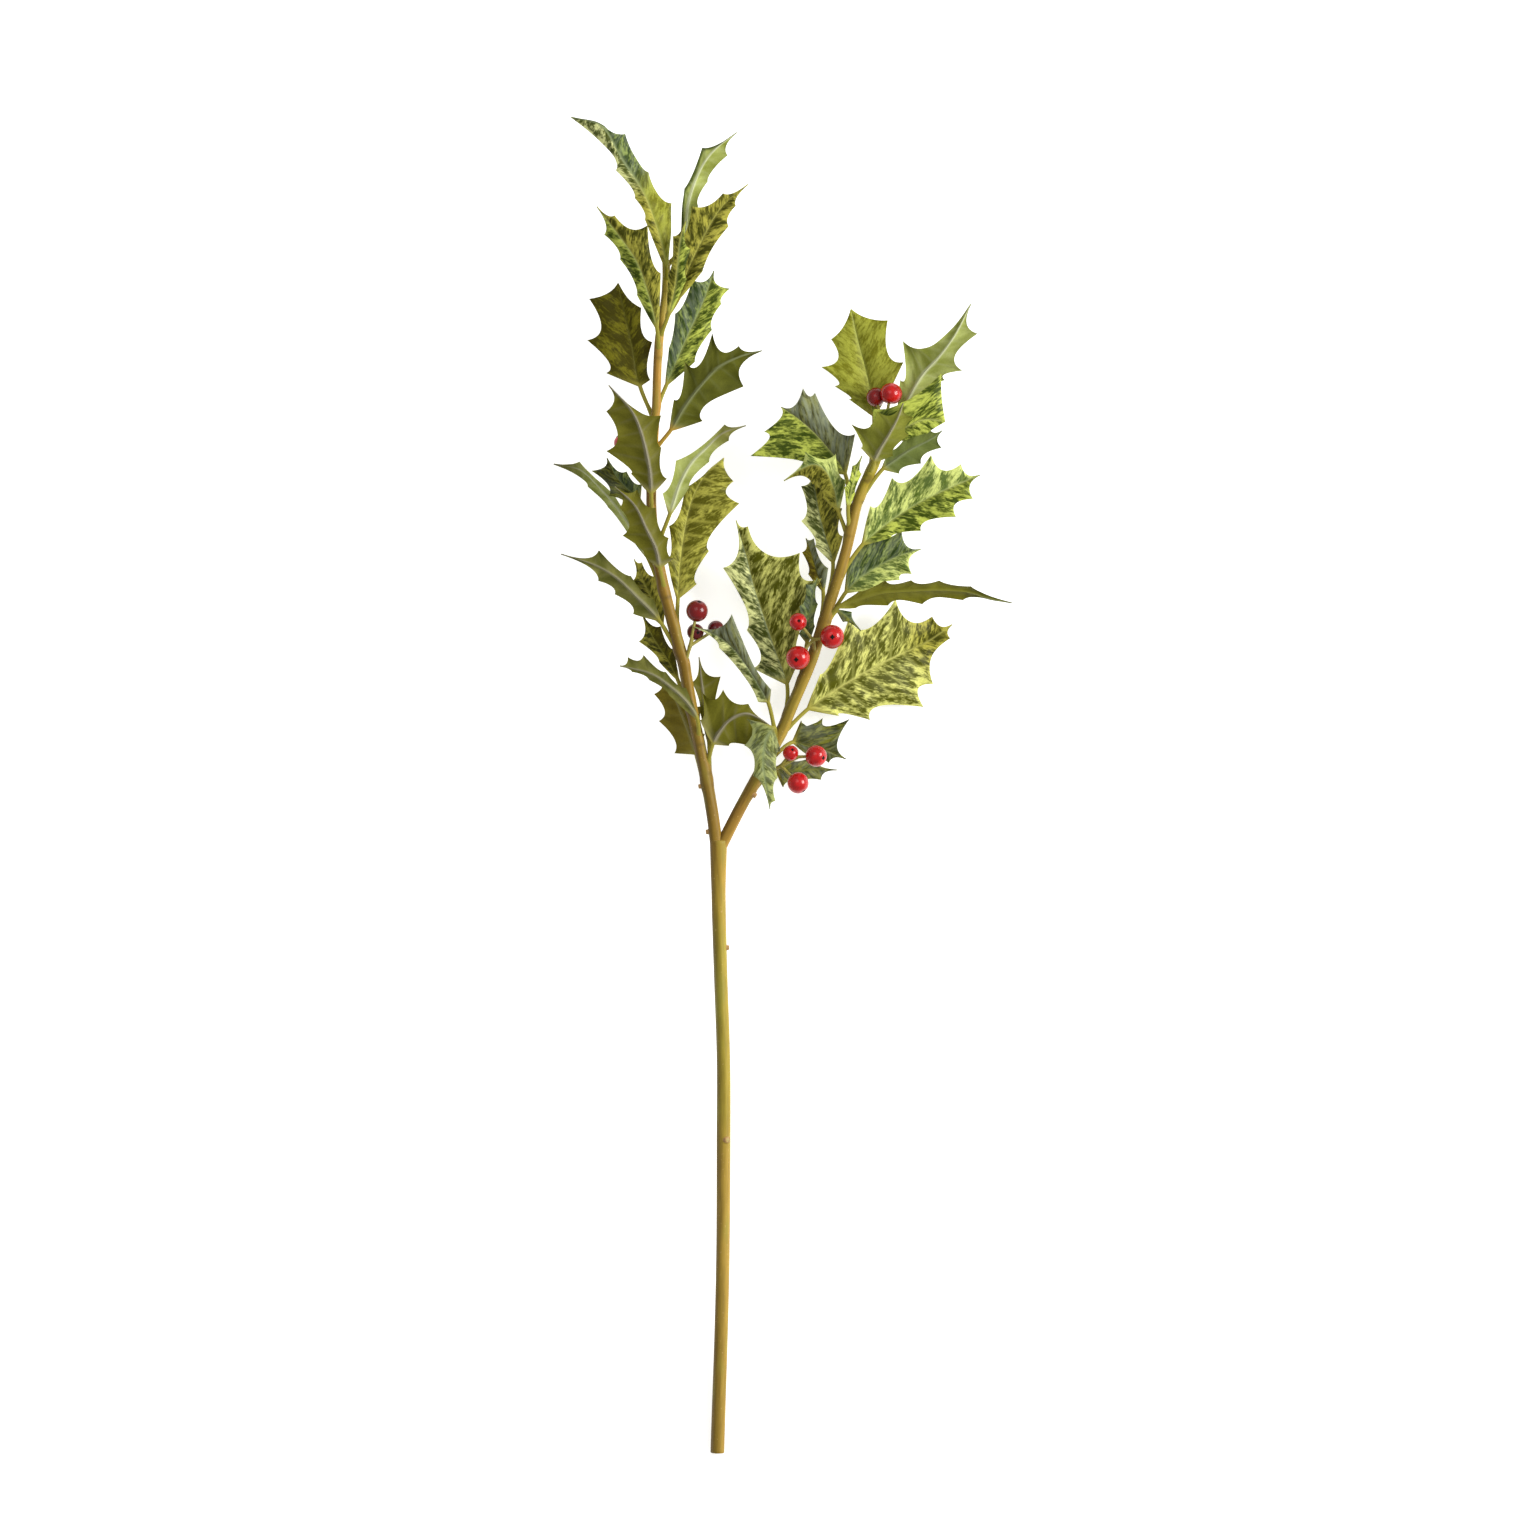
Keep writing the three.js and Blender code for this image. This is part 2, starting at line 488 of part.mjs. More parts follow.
/** Joins two like grids of points, one over the other, into one closed body. */
function closedSheet(upper, lower, rows, columns) {
  const positions = [...upper, ...lower].flatMap((point) => point.toArray());
  const below = upper.length;
  const index = [];
  const quad = (a, b, c, d) => index.push(a, b, c, a, c, d);
  for (let row = 0; row < rows - 1; row++) {
    for (let column = 0; column < columns - 1; column++) {
      const a = row * columns + column;
      const [b, c, d] = [a + 1, a + columns + 1, a + columns];
      quad(a, b, c, d);
      index.push(below + a, below + c, below + b, below + a, below + d, below + c);
    }
    const first = row * columns;
    const last = first + columns - 1;
    quad(first, first + columns, below + first + columns, below + first);
    quad(last, below + last, below + last + columns, last + columns);
  }
  const end = (rows - 1) * columns;
  for (let column = 0; column < columns - 1; column++) {
    quad(column, below + column, below + column + 1, column + 1);
    quad(end + column, end + column + 1, below + end + column + 1, below + end + column);
  }
  const geometry = new THREE.BufferGeometry();
  geometry.setAttribute("position", new THREE.Float32BufferAttribute(positions, 3));
  geometry.setIndex(index);
  geometry.computeVertexNormals();
  return geometry;
}

// ---- Twig and berries ----

/** A closed round tube along a curve; radiusAt gives its radius at a share of its length. */
function tubeGeometry(curve, radiusAt, sides, steps) {
  const frames = curve.computeFrenetFrames(steps, false);
  const positions = [];
  for (let step = 0; step <= steps; step++) {
    const centre = curve.getPointAt(step / steps);
    for (let side = 0; side < sides; side++) {
      const angle = (2 * Math.PI * side) / sides;
      const point = centre.clone();
      point.addScaledVector(frames.normals[step], radiusAt(step / steps) * Math.cos(angle));
      point.addScaledVector(frames.binormals[step], radiusAt(step / steps) * Math.sin(angle));
      positions.push(...point.toArray());
    }
  }
  const index = [];
  for (let step = 0; step < steps; step++) {
    for (let side = 0; side < sides; side++) {
      const a = step * sides + side;
      const b = step * sides + ((side + 1) % sides);
      index.push(a, b, b + sides, a, b + sides, a + sides);
    }
  }
  for (let side = 1; side < sides - 1; side++) {
    const end = steps * sides;
    index.push(0, side + 1, side, end, end + side, end + side + 1);
  }
  const geometry = new THREE.BufferGeometry();
  geometry.setAttribute("position", new THREE.Float32BufferAttribute(positions, 3));
  geometry.setIndex(index);
  return geometry;
}

/** Joins closed geometries that run into each other into one body. */
function fuse(geometries) {
  const solids = geometries.map((geometry) => {
    const bare = geometry.clone();
    bare.deleteAttribute("normal");
    bare.deleteAttribute("uv");
    const merged = mergeVertices(bare, 1e-4);
    const vertProperties = new Float32Array(merged.attributes.position.array);
    const triVerts = new Uint32Array(merged.index.array);
    return new wasm.Manifold(new wasm.Mesh({ numProp: 3, vertProperties, triVerts }));
  });
  const joined = solids.reduce((sum, solid) => sum.add(solid)).getMesh();
  const geometry = new THREE.BufferGeometry();
  geometry.setAttribute("position", new THREE.Float32BufferAttribute(joined.vertProperties, 3));
  geometry.setIndex([...joined.triVerts]);
  geometry.computeVertexNormals();
  return geometry;
}

function twigTube(twig) {
  const steps = Math.ceil(twig.curve.getLength() / TWIG_STEP);
  const radiusAt = (share) => twig.radiusAt(twig.curve.getPointAt(share).y);
  return tubeGeometry(twig.curve, radiusAt, TWIG_SIDES, steps);
}

// Stubs of shed stalks: [stretch, y, clock, radius, length]
const STUBS = [
  ["left", 5.5, 180, 1.4, 1.4],
  ["left", 28.5, 180, 1.3, 1.5],
  ["right", 25, 10, 1.5, 1.4],
  ["stem", -53, 0, 1.4, 1.3],
  ["stem", -149, 60, 1.9, 0.7],
];
const STUB_ROOT = 2; // how deep a stub starts inside the twig
const STUB_TAPER = 0.35; // share of its radius that a stub loses towards its end
const STUB_SIDES = 8;
const STUB_STEPS = 2;

function stubGeometry([stretch, y, clock, radius, length]) {
  const inner = offBark(TWIGS[stretch], y, clock, -STUB_ROOT);
  const outer = offBark(TWIGS[stretch], y, clock, length);
  const line = new THREE.LineCurve3(inner, outer);
  return tubeGeometry(line, (share) => radius * (1 - STUB_TAPER * share), STUB_SIDES, STUB_STEPS);
}

// Berry clusters: where the stalk leaves the twig, the points where it branches, and each
// berry's centre and diameter. from names the branching point that a berry hangs from.
const STALK_RADIUS = 0.75;
const KNOT_SWELL = 1.3; // a branching point is this much wider than a stalk
const KNOT_SIDES = 8;
const KNOT_BANDS = 6;
const CLUSTERS = {
  berries_a: {
    twig: "left", at: 92, clock: 45, forks: [[-14.5, 98, 33]],
    berries: [
      { centre: [-11, 115.5, 33], across: 11, from: 0 },
      { centre: [-11.8, 105, 30], across: 8.5, from: 0 },
      { centre: [-1.5, 106.5, 27.5], across: 8.5, from: 0 },
    ],
  },
  berries_b: {
    twig: "left", at: 182, clock: 175, forks: [[-41, 191, 35]],
    berries: [{ centre: [-48, 199.5, 36], across: 9, from: 0 }],
  },
  berries_c: {
    twig: "right", at: 97, clock: 90, forks: [[47, 101, 38]],
    berries: [
      { centre: [56.5, 102.5, 41.5], across: 12, from: 0 },
      { centre: [39.5, 92, 39], across: 12, from: 0 },
      { centre: [39.5, 110, 39], across: 8.8, from: 0 },
    ],
  },
  berries_d: {
    twig: "right", at: 37, clock: 20, forks: [[31, 38, 31], [39, 42.5, 33]],
    berries: [
      { centre: [48.5, 43, 33], across: 10.8, from: 1 },
      { centre: [35.8, 44.5, 33.5], across: 7.8, from: 0 },
      { centre: [39.5, 29.5, 33], across: 10.8, from: 0 },
    ],
  },
  berries_e: {
    twig: "right", at: 189, clock: 90, forks: [[82, 206, 37.2]],
    berries: [
      { centre: [86, 224, 36], across: 11, from: 0 },
      { centre: [78.5, 222.4, 32], across: 9.8, from: 0 },
    ],
  },
};

function stalkBetween(from, to) {
  return tubeGeometry(new THREE.LineCurve3(from, to), () => STALK_RADIUS, STALK_SIDES, 1);
}

/** Berries on their stalks, joined in one body. */
function clusterGeometry(cluster) {
  const root = offBark(TWIGS[cluster.twig], cluster.at, cluster.clock, SEAT_GAP + STALK_RADIUS);
  const forks = cluster.forks.map(vector);
  const solids = [root, ...forks].slice(1).map((fork, i) => stalkBetween(i ? forks[i - 1] : root, fork));
  for (const knot of forks) {
    const swelling = new THREE.SphereGeometry(STALK_RADIUS * KNOT_SWELL, KNOT_SIDES, KNOT_BANDS);
    solids.push(swelling.translate(...knot.toArray()));
  }
  for (const berry of cluster.berries) {
    const centre = vector(berry.centre);
    const ball = new THREE.SphereGeometry(berry.across / 2, BERRY_SIDES, BERRY_SIDES - 4);
    solids.push(ball.translate(...berry.centre), stalkBetween(forks[berry.from], centre));
  }
  return fuse(solids);
}

// ---- The sprig ----
const bark = new THREE.MeshStandardMaterial({ color: 0xa3892f, roughness: 0.7, metalness: 0 });
const blade = new THREE.MeshStandardMaterial({ color: 0x7c8a36, roughness: 0.45, metalness: 0 });
const skin = new THREE.MeshStandardMaterial({ color: 0xb81a22, roughness: 0.25, metalness: 0 });

function namedMesh(name, geometry, material) {
  const mesh = new THREE.Mesh(geometry, material);
  mesh.name = name;
  return mesh;
}

const sprig = new THREE.Group();
sprig.add(namedMesh("stem", fuse([...Object.values(TWIGS).map(twigTube), ...STUBS.map(stubGeometry)]), bark));
for (const [name, leaf] of Object.entries(LEAVES)) sprig.add(namedMesh(name, leafGeometry(leaf), blade));
for (const [name, cluster] of Object.entries(CLUSTERS)) {
  sprig.add(namedMesh(name, clusterGeometry(cluster), skin));
}

// The origin lies on the surface, under the middle of the sprig's box.
const box = new THREE.Box3().setFromObject(sprig);
const middle = box.getCenter(new THREE.Vector3());
sprig.position.set(-middle.x, -middle.y, -box.min.z);

export default sprig;
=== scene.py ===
"""The looks of a holly sprig: a forked twig with spined, variegated leaves and red berries."""

from __future__ import annotations

import logging
import math
from dataclasses import dataclass, field
from enum import Enum

import bpy
import numpy as np
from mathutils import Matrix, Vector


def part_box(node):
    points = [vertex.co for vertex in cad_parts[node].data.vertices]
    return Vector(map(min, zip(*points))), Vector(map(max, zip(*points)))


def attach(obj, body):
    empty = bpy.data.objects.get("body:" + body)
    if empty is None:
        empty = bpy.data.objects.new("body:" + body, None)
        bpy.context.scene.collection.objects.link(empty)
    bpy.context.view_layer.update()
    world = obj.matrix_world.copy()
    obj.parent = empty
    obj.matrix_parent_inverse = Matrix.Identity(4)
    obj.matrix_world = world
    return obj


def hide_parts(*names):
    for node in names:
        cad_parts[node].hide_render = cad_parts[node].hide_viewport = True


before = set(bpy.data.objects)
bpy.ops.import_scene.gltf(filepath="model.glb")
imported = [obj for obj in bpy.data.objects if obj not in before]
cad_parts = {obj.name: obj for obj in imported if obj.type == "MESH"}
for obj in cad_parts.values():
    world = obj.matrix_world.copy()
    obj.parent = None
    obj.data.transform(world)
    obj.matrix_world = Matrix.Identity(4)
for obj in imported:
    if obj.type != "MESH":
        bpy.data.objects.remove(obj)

log = logging.getLogger("holly_sprig")
Socket = bpy.types.NodeSocket

MM = 0.001
UV_PER_MM = 0.01  # pattern coordinates are kept in units of 100 mm
BODY = "root"
WHITE = (1.0, 1.0, 1.0, 1.0)
Y_AXIS = np.array([0.0, 1.0, 0.0])
Z_AXIS = np.array([0.0, 0.0, 1.0])

# The far upper corner of the berries_c node's box, in mm from the fork of the twig. Every place
# below is in mm from that fork, as the twig's maker would measure it.
BERRIES_C_CORNER = np.array([62.5, 114.4, 47.5])
FORK = np.array(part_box("berries_c")[1]) / MM - BERRIES_C_CORNER


def linear(code: str) -> tuple[float, float, float, float]:
    """Turns an sRGB hex colour to linear light.

    Args:
        code: the colour, such as "#a3892f".

    Returns:
        Red, green, blue and an alpha of 1.
    """
    parts = [int(code[i : i + 2], 16) / 255 for i in (1, 3, 5)]
    light = [c / 12.92 if c <= 0.04045 else ((c + 0.055) / 1.055) ** 2.4 for c in parts]
    return (light[0], light[1], light[2], 1.0)


def smoothstep(low: float, high: float, value: np.ndarray) -> np.ndarray:
    """Rises from 0 at low to 1 at high along 3t^2 - 2t^3."""
    t = np.clip((value - low) / (high - low), 0.0, 1.0)
    return t * t * (3.0 - 2.0 * t)


def unit(vectors: np.ndarray) -> np.ndarray:
    """Divides vectors by their lengths."""
    return vectors / np.maximum(np.linalg.norm(vectors, axis=-1, keepdims=True), 1e-9)


# ---- Curves and shells ----


class Path:
    """A smooth line through points: a centripetal Catmull-Rom curve, read by share of length."""

    SAMPLES = 40

    def __init__(self, points: np.ndarray) -> None:
        """Samples the curve.

        Args:
            points: the places that the line passes, in mm.
        """
        knots = np.asarray(points, float)
        start, end = 2 * knots[0] - knots[1], 2 * knots[-1] - knots[-2]
        line = np.vstack([start, knots, end])
        gap = np.linalg.norm(np.diff(line, axis=0), axis=1)[:, None] ** 0.5
        p0, p1, p2, p3 = line[:-3], line[1:-2], line[2:-1], line[3:]
        d0, d1, d2 = gap[:-2], gap[1:-1], gap[2:]
        leave = ((p1 - p0) / d0 - (p2 - p0) / (d0 + d1) + (p2 - p1) / d1) * d1
        reach = ((p2 - p1) / d1 - (p3 - p1) / (d1 + d2) + (p3 - p2) / d2) * d1
        t = (np.arange(self.SAMPLES) / self.SAMPLES)[None, :, None]
        a, b, m, n = p1[:, None], p2[:, None], leave[:, None], reach[:, None]
        cubic = a + m * t + (3 * (b - a) - 2 * m - n) * t**2 + (2 * (a - b) + m + n) * t**3
        self.dots = np.vstack([cubic.reshape(-1, 3), knots[-1]])
        run = np.concatenate([[0], np.cumsum(np.linalg.norm(np.diff(self.dots, axis=0), axis=1))])
        self.length = float(run[-1])
        self.shares = run / run[-1]
        self.slopes = unit(np.gradient(self.dots, self.shares, axis=0))

    def at(self, share: np.ndarray | float) -> np.ndarray:
        """Points at these shares of the length."""
        return np.stack([np.interp(share, self.shares, self.dots[:, k]) for k in range(3)], -1)

    def along(self, share: np.ndarray | float) -> np.ndarray:
        """Unit directions at these shares of the length."""
        parts = [np.interp(share, self.shares, self.slopes[:, k]) for k in range(3)]
        return unit(np.stack(parts, -1))

    def nearest(self, x: float, y: float) -> float:
        """The share whose point lies nearest a place in plan."""
        away = np.hypot(self.dots[:, 0] - x, self.dots[:, 1] - y)
        return float(self.shares[np.argmin(away)])


@dataclass
class Shell:
    """Vertices in mm with four-sided faces, end caps, and data for each corner of the faces."""

    points: np.ndarray
    quads: np.ndarray
    uv: np.ndarray
    finish: np.ndarray
    caps: list[list[int]] = field(default_factory=list)
    cap_finish: list[int] = field(default_factory=list)
    tints: dict[str, np.ndarray] = field(default_factory=dict)

    @staticmethod
    def joined(shells: list["Shell"]) -> "Shell":
        """Puts several shells in one, one after another.

        Args:
            shells: the shells, which all hold the same tints.

        Returns:
            The one shell.
        """
        starts = np.cumsum([0] + [len(s.points) for s in shells[:-1]])
        caps = [[i + int(n) for i in cap] for s, n in zip(shells, starts) for cap in s.caps]
        names = shells[0].tints
        return Shell(
            np.vstack([s.points for s in shells]),
            np.vstack([s.quads + n for s, n in zip(shells, starts)]),
            np.vstack([s.uv for s in shells]),
            np.concatenate([s.finish for s in shells]),
            caps,
            [f for s in shells for f in s.cap_finish],
            {name: np.vstack([s.tints[name] for s in shells]) for name in names},
        )

    def mesh(self, name: str, finishes: list[bpy.types.Material], crease: float) -> bpy.types.Mesh:
        """Makes a mesh.

        Args:
            name: the mesh's name.
            finishes: its materials, in the order that finish numbers them.
            crease: the angle in degrees above which an edge is sharp.

        Returns:
            The mesh, in metres in the sprig's frame.
        """
        mesh = bpy.data.meshes.new(name)
        faces = self.quads.tolist() + self.caps
        mesh.from_pydata((self.points + FORK) * MM, [], faces)
        for finish in finishes:
            mesh.materials.append(finish)
        order = np.concatenate([self.finish, self.cap_finish]).astype(np.int32)
        mesh.polygons.foreach_set("material_index", order)
        spare = sum(len(cap) for cap in self.caps)
        uv = np.vstack([self.uv.reshape(-1, 2), np.zeros((spare, 2))])
        layer = mesh.uv_layers.new(name="UVMap")
        layer.uv.foreach_set("vector", uv.astype(np.float32).ravel())
        for tint, values in self.tints.items():
            flat = values.reshape(-1, 4)
            flat = np.vstack([flat, np.tile(flat[-1], (spare, 1))])
            attribute = mesh.attributes.new(tint, "FLOAT_COLOR", "CORNER")
            attribute.data.foreach_set("color", flat.astype(np.float32).ravel())
        mesh.shade_smooth()
        mesh.set_sharp_from_angle(angle=math.radians(crease))
        mesh.update()
        return mesh


def grid_quads(rows: int, columns: int, wrap: bool = False) -> np.ndarray:
    """The faces of a grid of points that are stored row after row.

    Args:
        rows: its rows.
        columns: the points in a row.
        wrap: whether the last column is joined to the first.

    Returns:
        Four point numbers for each face.
    """
    row, column = np.meshgrid(
        np.arange(rows - 1), np.arange(columns if wrap else columns - 1), indexing="ij"
    )
    after = (column + 1) % columns
    a, b = row * columns + column, row * columns + after
    return np.stack([a, b, b + columns, a + columns], -1).reshape(-1, 4)


def grid_corners(values: np.ndarray) -> np.ndarray:
    """Takes a grid's values to the corners of its faces.

    Args:
        values: the values, by row, column and part.

    Returns:
        The values, by face, corner and part.
    """
    corners = [values[:-1, :-1], values[:-1, 1:], values[1:, 1:], values[1:, :-1]]
    return np.stack(corners, 2).reshape(-1, 4, values.shape[-1])


def ringed(
    points: np.ndarray,
    uv: np.ndarray,
    tints: dict[str, np.ndarray],
    finish: int,
    cap_finish: int,
) -> Shell:
    """Closes a stack of rings with a wall between them and a flat cap at each end.

    Args:
        points: the rings, by row and side, which turn clockwise as seen from the last row.
        uv: the pattern coordinates, by row and side, with the first side again as the last.
        tints: colours for the same rows and sides as uv.
        finish: the material number of the wall.
        cap_finish: the material number of the two caps.

    Returns:
        A closed shell.
    """
    rows, sides = points.shape[:2]
    quads = grid_quads(rows, sides, wrap=True)[:, ::-1]
    uv = grid_corners(uv)[:, ::-1]
    tints = {name: grid_corners(value)[:, ::-1] for name, value in tints.items()}
    walls = np.full(len(quads), finish)
    caps = [list(range(sides)), list(range((rows - 1) * sides, rows * sides))[::-1]]
    return Shell(points.reshape(-1, 3), quads, uv, walls, caps, [cap_finish] * 2, tints)


def tube(
    path: Path,
    radius: np.ndarray,
    shares: np.ndarray,
    sides: int,
    reference: np.ndarray,
    tints: dict[str, np.ndarray],
    finish: int = 0,
    cap_finish: int = 0,
) -> Shell:
    """Carries a circle along a path: point = centre + radius * (across cos a + up sin a).

    Args:
        path: the centre line.
        radius: the radius in mm for each row and side.
        shares: the rows' places along the path.
        sides: how many points go round.
        reference: a direction that the path never takes; across is square to it.
        tints: colours for each row and side, one more side than there are points.
        finish: the material number of the wall.
        cap_finish: the material number of the two ends.

    Returns:
        A closed shell.
    """
    centre, along = path.at(shares), path.along(shares)
    across = unit(np.cross(along, reference))
    up = np.cross(across, along)
    angle = 2 * np.pi * np.arange(sides) / sides
    ring = across[:, None] * np.cos(angle)[:, None] + up[:, None] * np.sin(angle)[:, None]
    points = centre[:, None] + ring * radius[:, :, None]
    turn, run = np.meshgrid(np.arange(sides + 1) / sides, shares * path.length * UV_PER_MM)
    return ringed(points, np.stack([turn, run], -1), tints, finish, cap_finish)


# ---- The twig ----


@dataclass(frozen=True)
class Twig:
    """A stretch of twig: [x, y, z, radius] down its middle, and its bark colours by y."""

    name: str
    line: tuple[tuple[float, float, float, float], ...]
    colours: tuple[tuple[float, str], ...]

    @property
    def path(self) -> Path:
        """The smooth centre line."""
        return Path(np.array(self.line)[:, :3])

    def radius_at(self, y: np.ndarray | float) -> np.ndarray:
        """The bark's radius where the centre line passes y."""
        rows = np.array(self.line)
        return np.interp(y, rows[:, 1], rows[:, 3])

    def off_bark(self, y: float, clock: float, stand_off: float) -> np.ndarray:
        """A point off the bark.

        Args:
            y: where on the twig.
            clock: 0 is the twig's right side, 90 its top, 180 its left side.
            stand_off: how far out from the bark, in mm.

        Returns:
            The point.
        """
        path = self.path
        share = float(np.interp(y, path.dots[:, 1], path.shares))
        along = path.along(share)
        across = unit(np.cross(along, Z_AXIS))
        up = np.cross(across, along)
        turn = math.radians(clock)
        out = across * math.cos(turn) + up * math.sin(turn)
        return path.at(share) + out * (self.radius_at(y) + stand_off)


TWIGS = {
    twig.name: twig
    for twig in (
        Twig(
            "stem",
            ((-0.8, -306.5, 3.35, 3.5), (0.8, -254, 6.5, 3.4), (1.9, -200, 9.8, 3.4),
             (2.3, -150, 13, 3.5), (2.2, -110, 15.6, 3.4), (0.8, -66, 18.8, 3.4),
             (-0.2, -25, 22, 3.6), (-0.3, 1, 24, 4.4)),
            ((-306, "#957a28"), (-230, "#9e832c"), (-160, "#a88c34"), (-135, "#9f8f2e"),
             (-60, "#9c902c"), (-25, "#a88e30"), (0, "#9c7c26")),
        ),
        Twig(
            "left",
            ((-0.5, -9, 23.2, 3.2), (-3.2, 13, 25.2, 3.1), (-7.8, 38.5, 27, 3),
             (-13.5, 66, 28.6, 3), (-18, 91, 30, 3), (-23.5, 111, 31, 2.9),
             (-29, 133.5, 32, 2.8), (-33.5, 161, 33, 2.6), (-33.5, 186, 33.6, 2.4),
             (-31.5, 216, 34.2, 2.1), (-30, 250, 34.6, 2.1), (-26.6, 276, 34.8, 2),
             (-27, 296, 35, 1.5)),
            # The stop at 281 is lighter to offset the shade that leaves l01 and l04 cast on the
            # bark there: painted light.
            ((-9, "#9c7c26"), (20, "#785f16"), (60, "#88701c"), (90, "#806316"),
             (120, "#8c6e1e"), (150, "#a07a2a"), (235, "#b08430"), (255, "#b38e38"),
             (265, "#ab983a"), (281, "#a59820")),
        ),
        Twig(
            "right",
            ((-1.5, -7, 23.4, 3.1), (9.5, 15, 25, 3), (19.5, 33.5, 26.2, 2.9),
             (29.5, 52, 27.6, 2.9), (38.5, 72.5, 29, 2.9), (46, 90, 30.2, 2.9),
             (50.5, 104, 31, 2.8), (56, 121, 32, 2.8), (62.2, 141, 32.8, 2.7),
             (66, 156, 33.4, 2.6), (69.5, 171, 34, 2.6), (75, 184, 34.6, 2.5),
             (80, 194, 35, 2.2)),
            ((-7, "#9c7c26"), (15, "#8a6820"), (40, "#907a24"), (70, "#8c7c20"),
             (100, "#846a20"), (125, "#86721c"), (150, "#967824"), (170, "#937e24"),
             (184, "#948c18"), (194, "#a29c26")),
        ),
    )
}


@dataclass(frozen=True)
class Stub:
    """The stub of a shed stalk: its twig, its place as for off_bark, its radius and length."""

    twig: str
    y: float
    clock: float
    radius: float
    length: float


STUBS = (
    Stub("left", 5.5, 180, 1.4, 1.4),
    Stub("left", 28.5, 180, 1.3, 1.5),
    Stub("right", 25, 10, 1.5, 1.4),
    Stub("stem", -53, 0, 1.4, 1.3),
    Stub("stem", -149, 60, 1.9, 0.7),
)


# ---- What each leaf looks like ----


class Face(Enum):
    """Which face of a leaf is turned up."""

    UPPER = 1
    UNDER = -1


@dataclass(frozen=True)
class HalfLook:
    """The colours of one half of a blade.

    pale and deep are the two colours of its marbling, cover the share of deep, the fifth field
    the share of painted sheen (grey patches that stand in for the lamps' reflection), margin how
    much paler its edge is, rib the colour of the midrib and vein how far the side veins stand out.
    """

    pale: str
    deep: str
    cover: float = 0.5
    # Painted sheen: the share of grey patches that stand in for the lamps' reflection.
    painted_sheen: float = 0.0
    margin: float = 0.0
    rib: str = "#a9a85c"
    vein: float = 0.15


class Look(Enum):
    """The finishes of half blades that the sprig has."""

    # The fifth number of each look is its share of painted sheen: grey patches that stand in for
    # the lamps' reflection on blades tilted towards them.
    MARBLED = HalfLook("#aea844", "#3e3f04", 0.57, 0.0, 0.15, "#a9a653", 0.35)
    NETTED = HalfLook("#aca848", "#57550f", 0.62, 0.0, 0.1, "#b3b060", 0.75)
    STREAKED = HalfLook("#cbcb6e", "#4a4c02", 0.64, 0.0, 0.35, "#bdbb6a", 0.4)
    CREAM = HalfLook("#d8db92", "#3f480a", 0.61, 0.05, 0.3, "#86906a", 0.1)
    PALE = HalfLook("#c8d276", "#4c5e1e", 0.57, 0.06, 0.25, "#a6b070", 0.2)
    LIME_MARBLE = HalfLook("#b2bc50", "#374508", 0.59, 0.0, 0.15, "#a6ac62", 0.2)
    DEEP = HalfLook("#787319", "#474206", 0.6, 0.0, -0.1, "#77742c", 0.1)
    OLIVE = HalfLook("#8d8120", "#4c4006", 0.52, 0.0, 0.0, "#8d8a3a", 0.1)
    BLUED = HalfLook("#84924a", "#283913", 0.66, 0.25, 0.1, "#8f9b68", 0.15)
    SAGE = HalfLook("#a3aa62", "#484e18", 0.56, 0.2, 0.3, "#7f8a5e", 0.15)
    SHEENED = HalfLook("#80834f", "#44451e", 0.5, 0.5, 0.0, "#868763", 0.2)
    LIME = HalfLook("#979a38", "#6a6a14", 0.5, 0.0, 0.1, "#9ba050", 0.3)
    GREEN = HalfLook("#6c6e26", "#303408", 0.60, 0.15, 0.0, "#6f7238", 0.1)
    PLAIN_BACK = HalfLook("#76741e", "#605e12", 0.5, 0.0, -0.1, "#78762c", 0.1)
    OLIVE_BACK = HalfLook("#6f6c1e", "#58560f", 0.5, 0.0, 0.0, "#8c8672")
    TAN_BACK = HalfLook("#8a7d2a", "#70641a", 0.5, 0.0, 0.0, "#8f8a58")
    DARK_BACK = HalfLook("#5d5f1a", "#46480d", 0.5, 0.0, 0.0, "#7b8058")
    PALE_BACK = HalfLook("#a6ae62", "#7f8736", 0.5, 0.0, 0.0, "#c6caa2")
    SHADED_BACK = HalfLook("#98a055", "#3f4a18", 0.4, 0.0, -0.5, "#c6caa2")
    SAGE_BACK = HalfLook("#7c7b3c", "#5c5e22", 0.5, 0.0, 0.0, "#8a866a")
    LIME_BACK = HalfLook("#7f8230", "#65671c", 0.5, 0.0, 0.0, "#8f8a70")
    TEAL_BACK = HalfLook("#6f7a3c", "#535e28", 0.5, 0.0, 0.0, "#79825c")


@dataclass(frozen=True)
class Leaf:
    """One leaf.

    at and clock say where its stalk leaves the twig; rib is its midrib, from the blade's base to
    its tip; left and right are the spine tips of each margin, base first, as seen along the
    midrib. roll is the degrees that the right half is turned up, fold the degrees that both
    halves are, and wave the mm by which the spines go up and down in turn. cut and tip_cut say
    how far the margin is drawn in between spines. looks are those of the left and right halves,
    and stalk is the stalk's colour. Past the share turn of the midrib the looks become tip_looks.
    """

    name: str
    twig: str
    at: float
    clock: float
    roll: float
    fold: float
    wave: float
    rib: tuple[tuple[float, float, float], ...]
    left: tuple[tuple[float, float], ...]
    right: tuple[tuple[float, float], ...]
    face: Face
    looks: tuple[Look, Look]
    cut: float = 0.6
    tip_cut: float = 0.85
    stalk: str = "#938b37"
    tip_looks: tuple[Look, Look] | None = None
    turn: float = 0.7


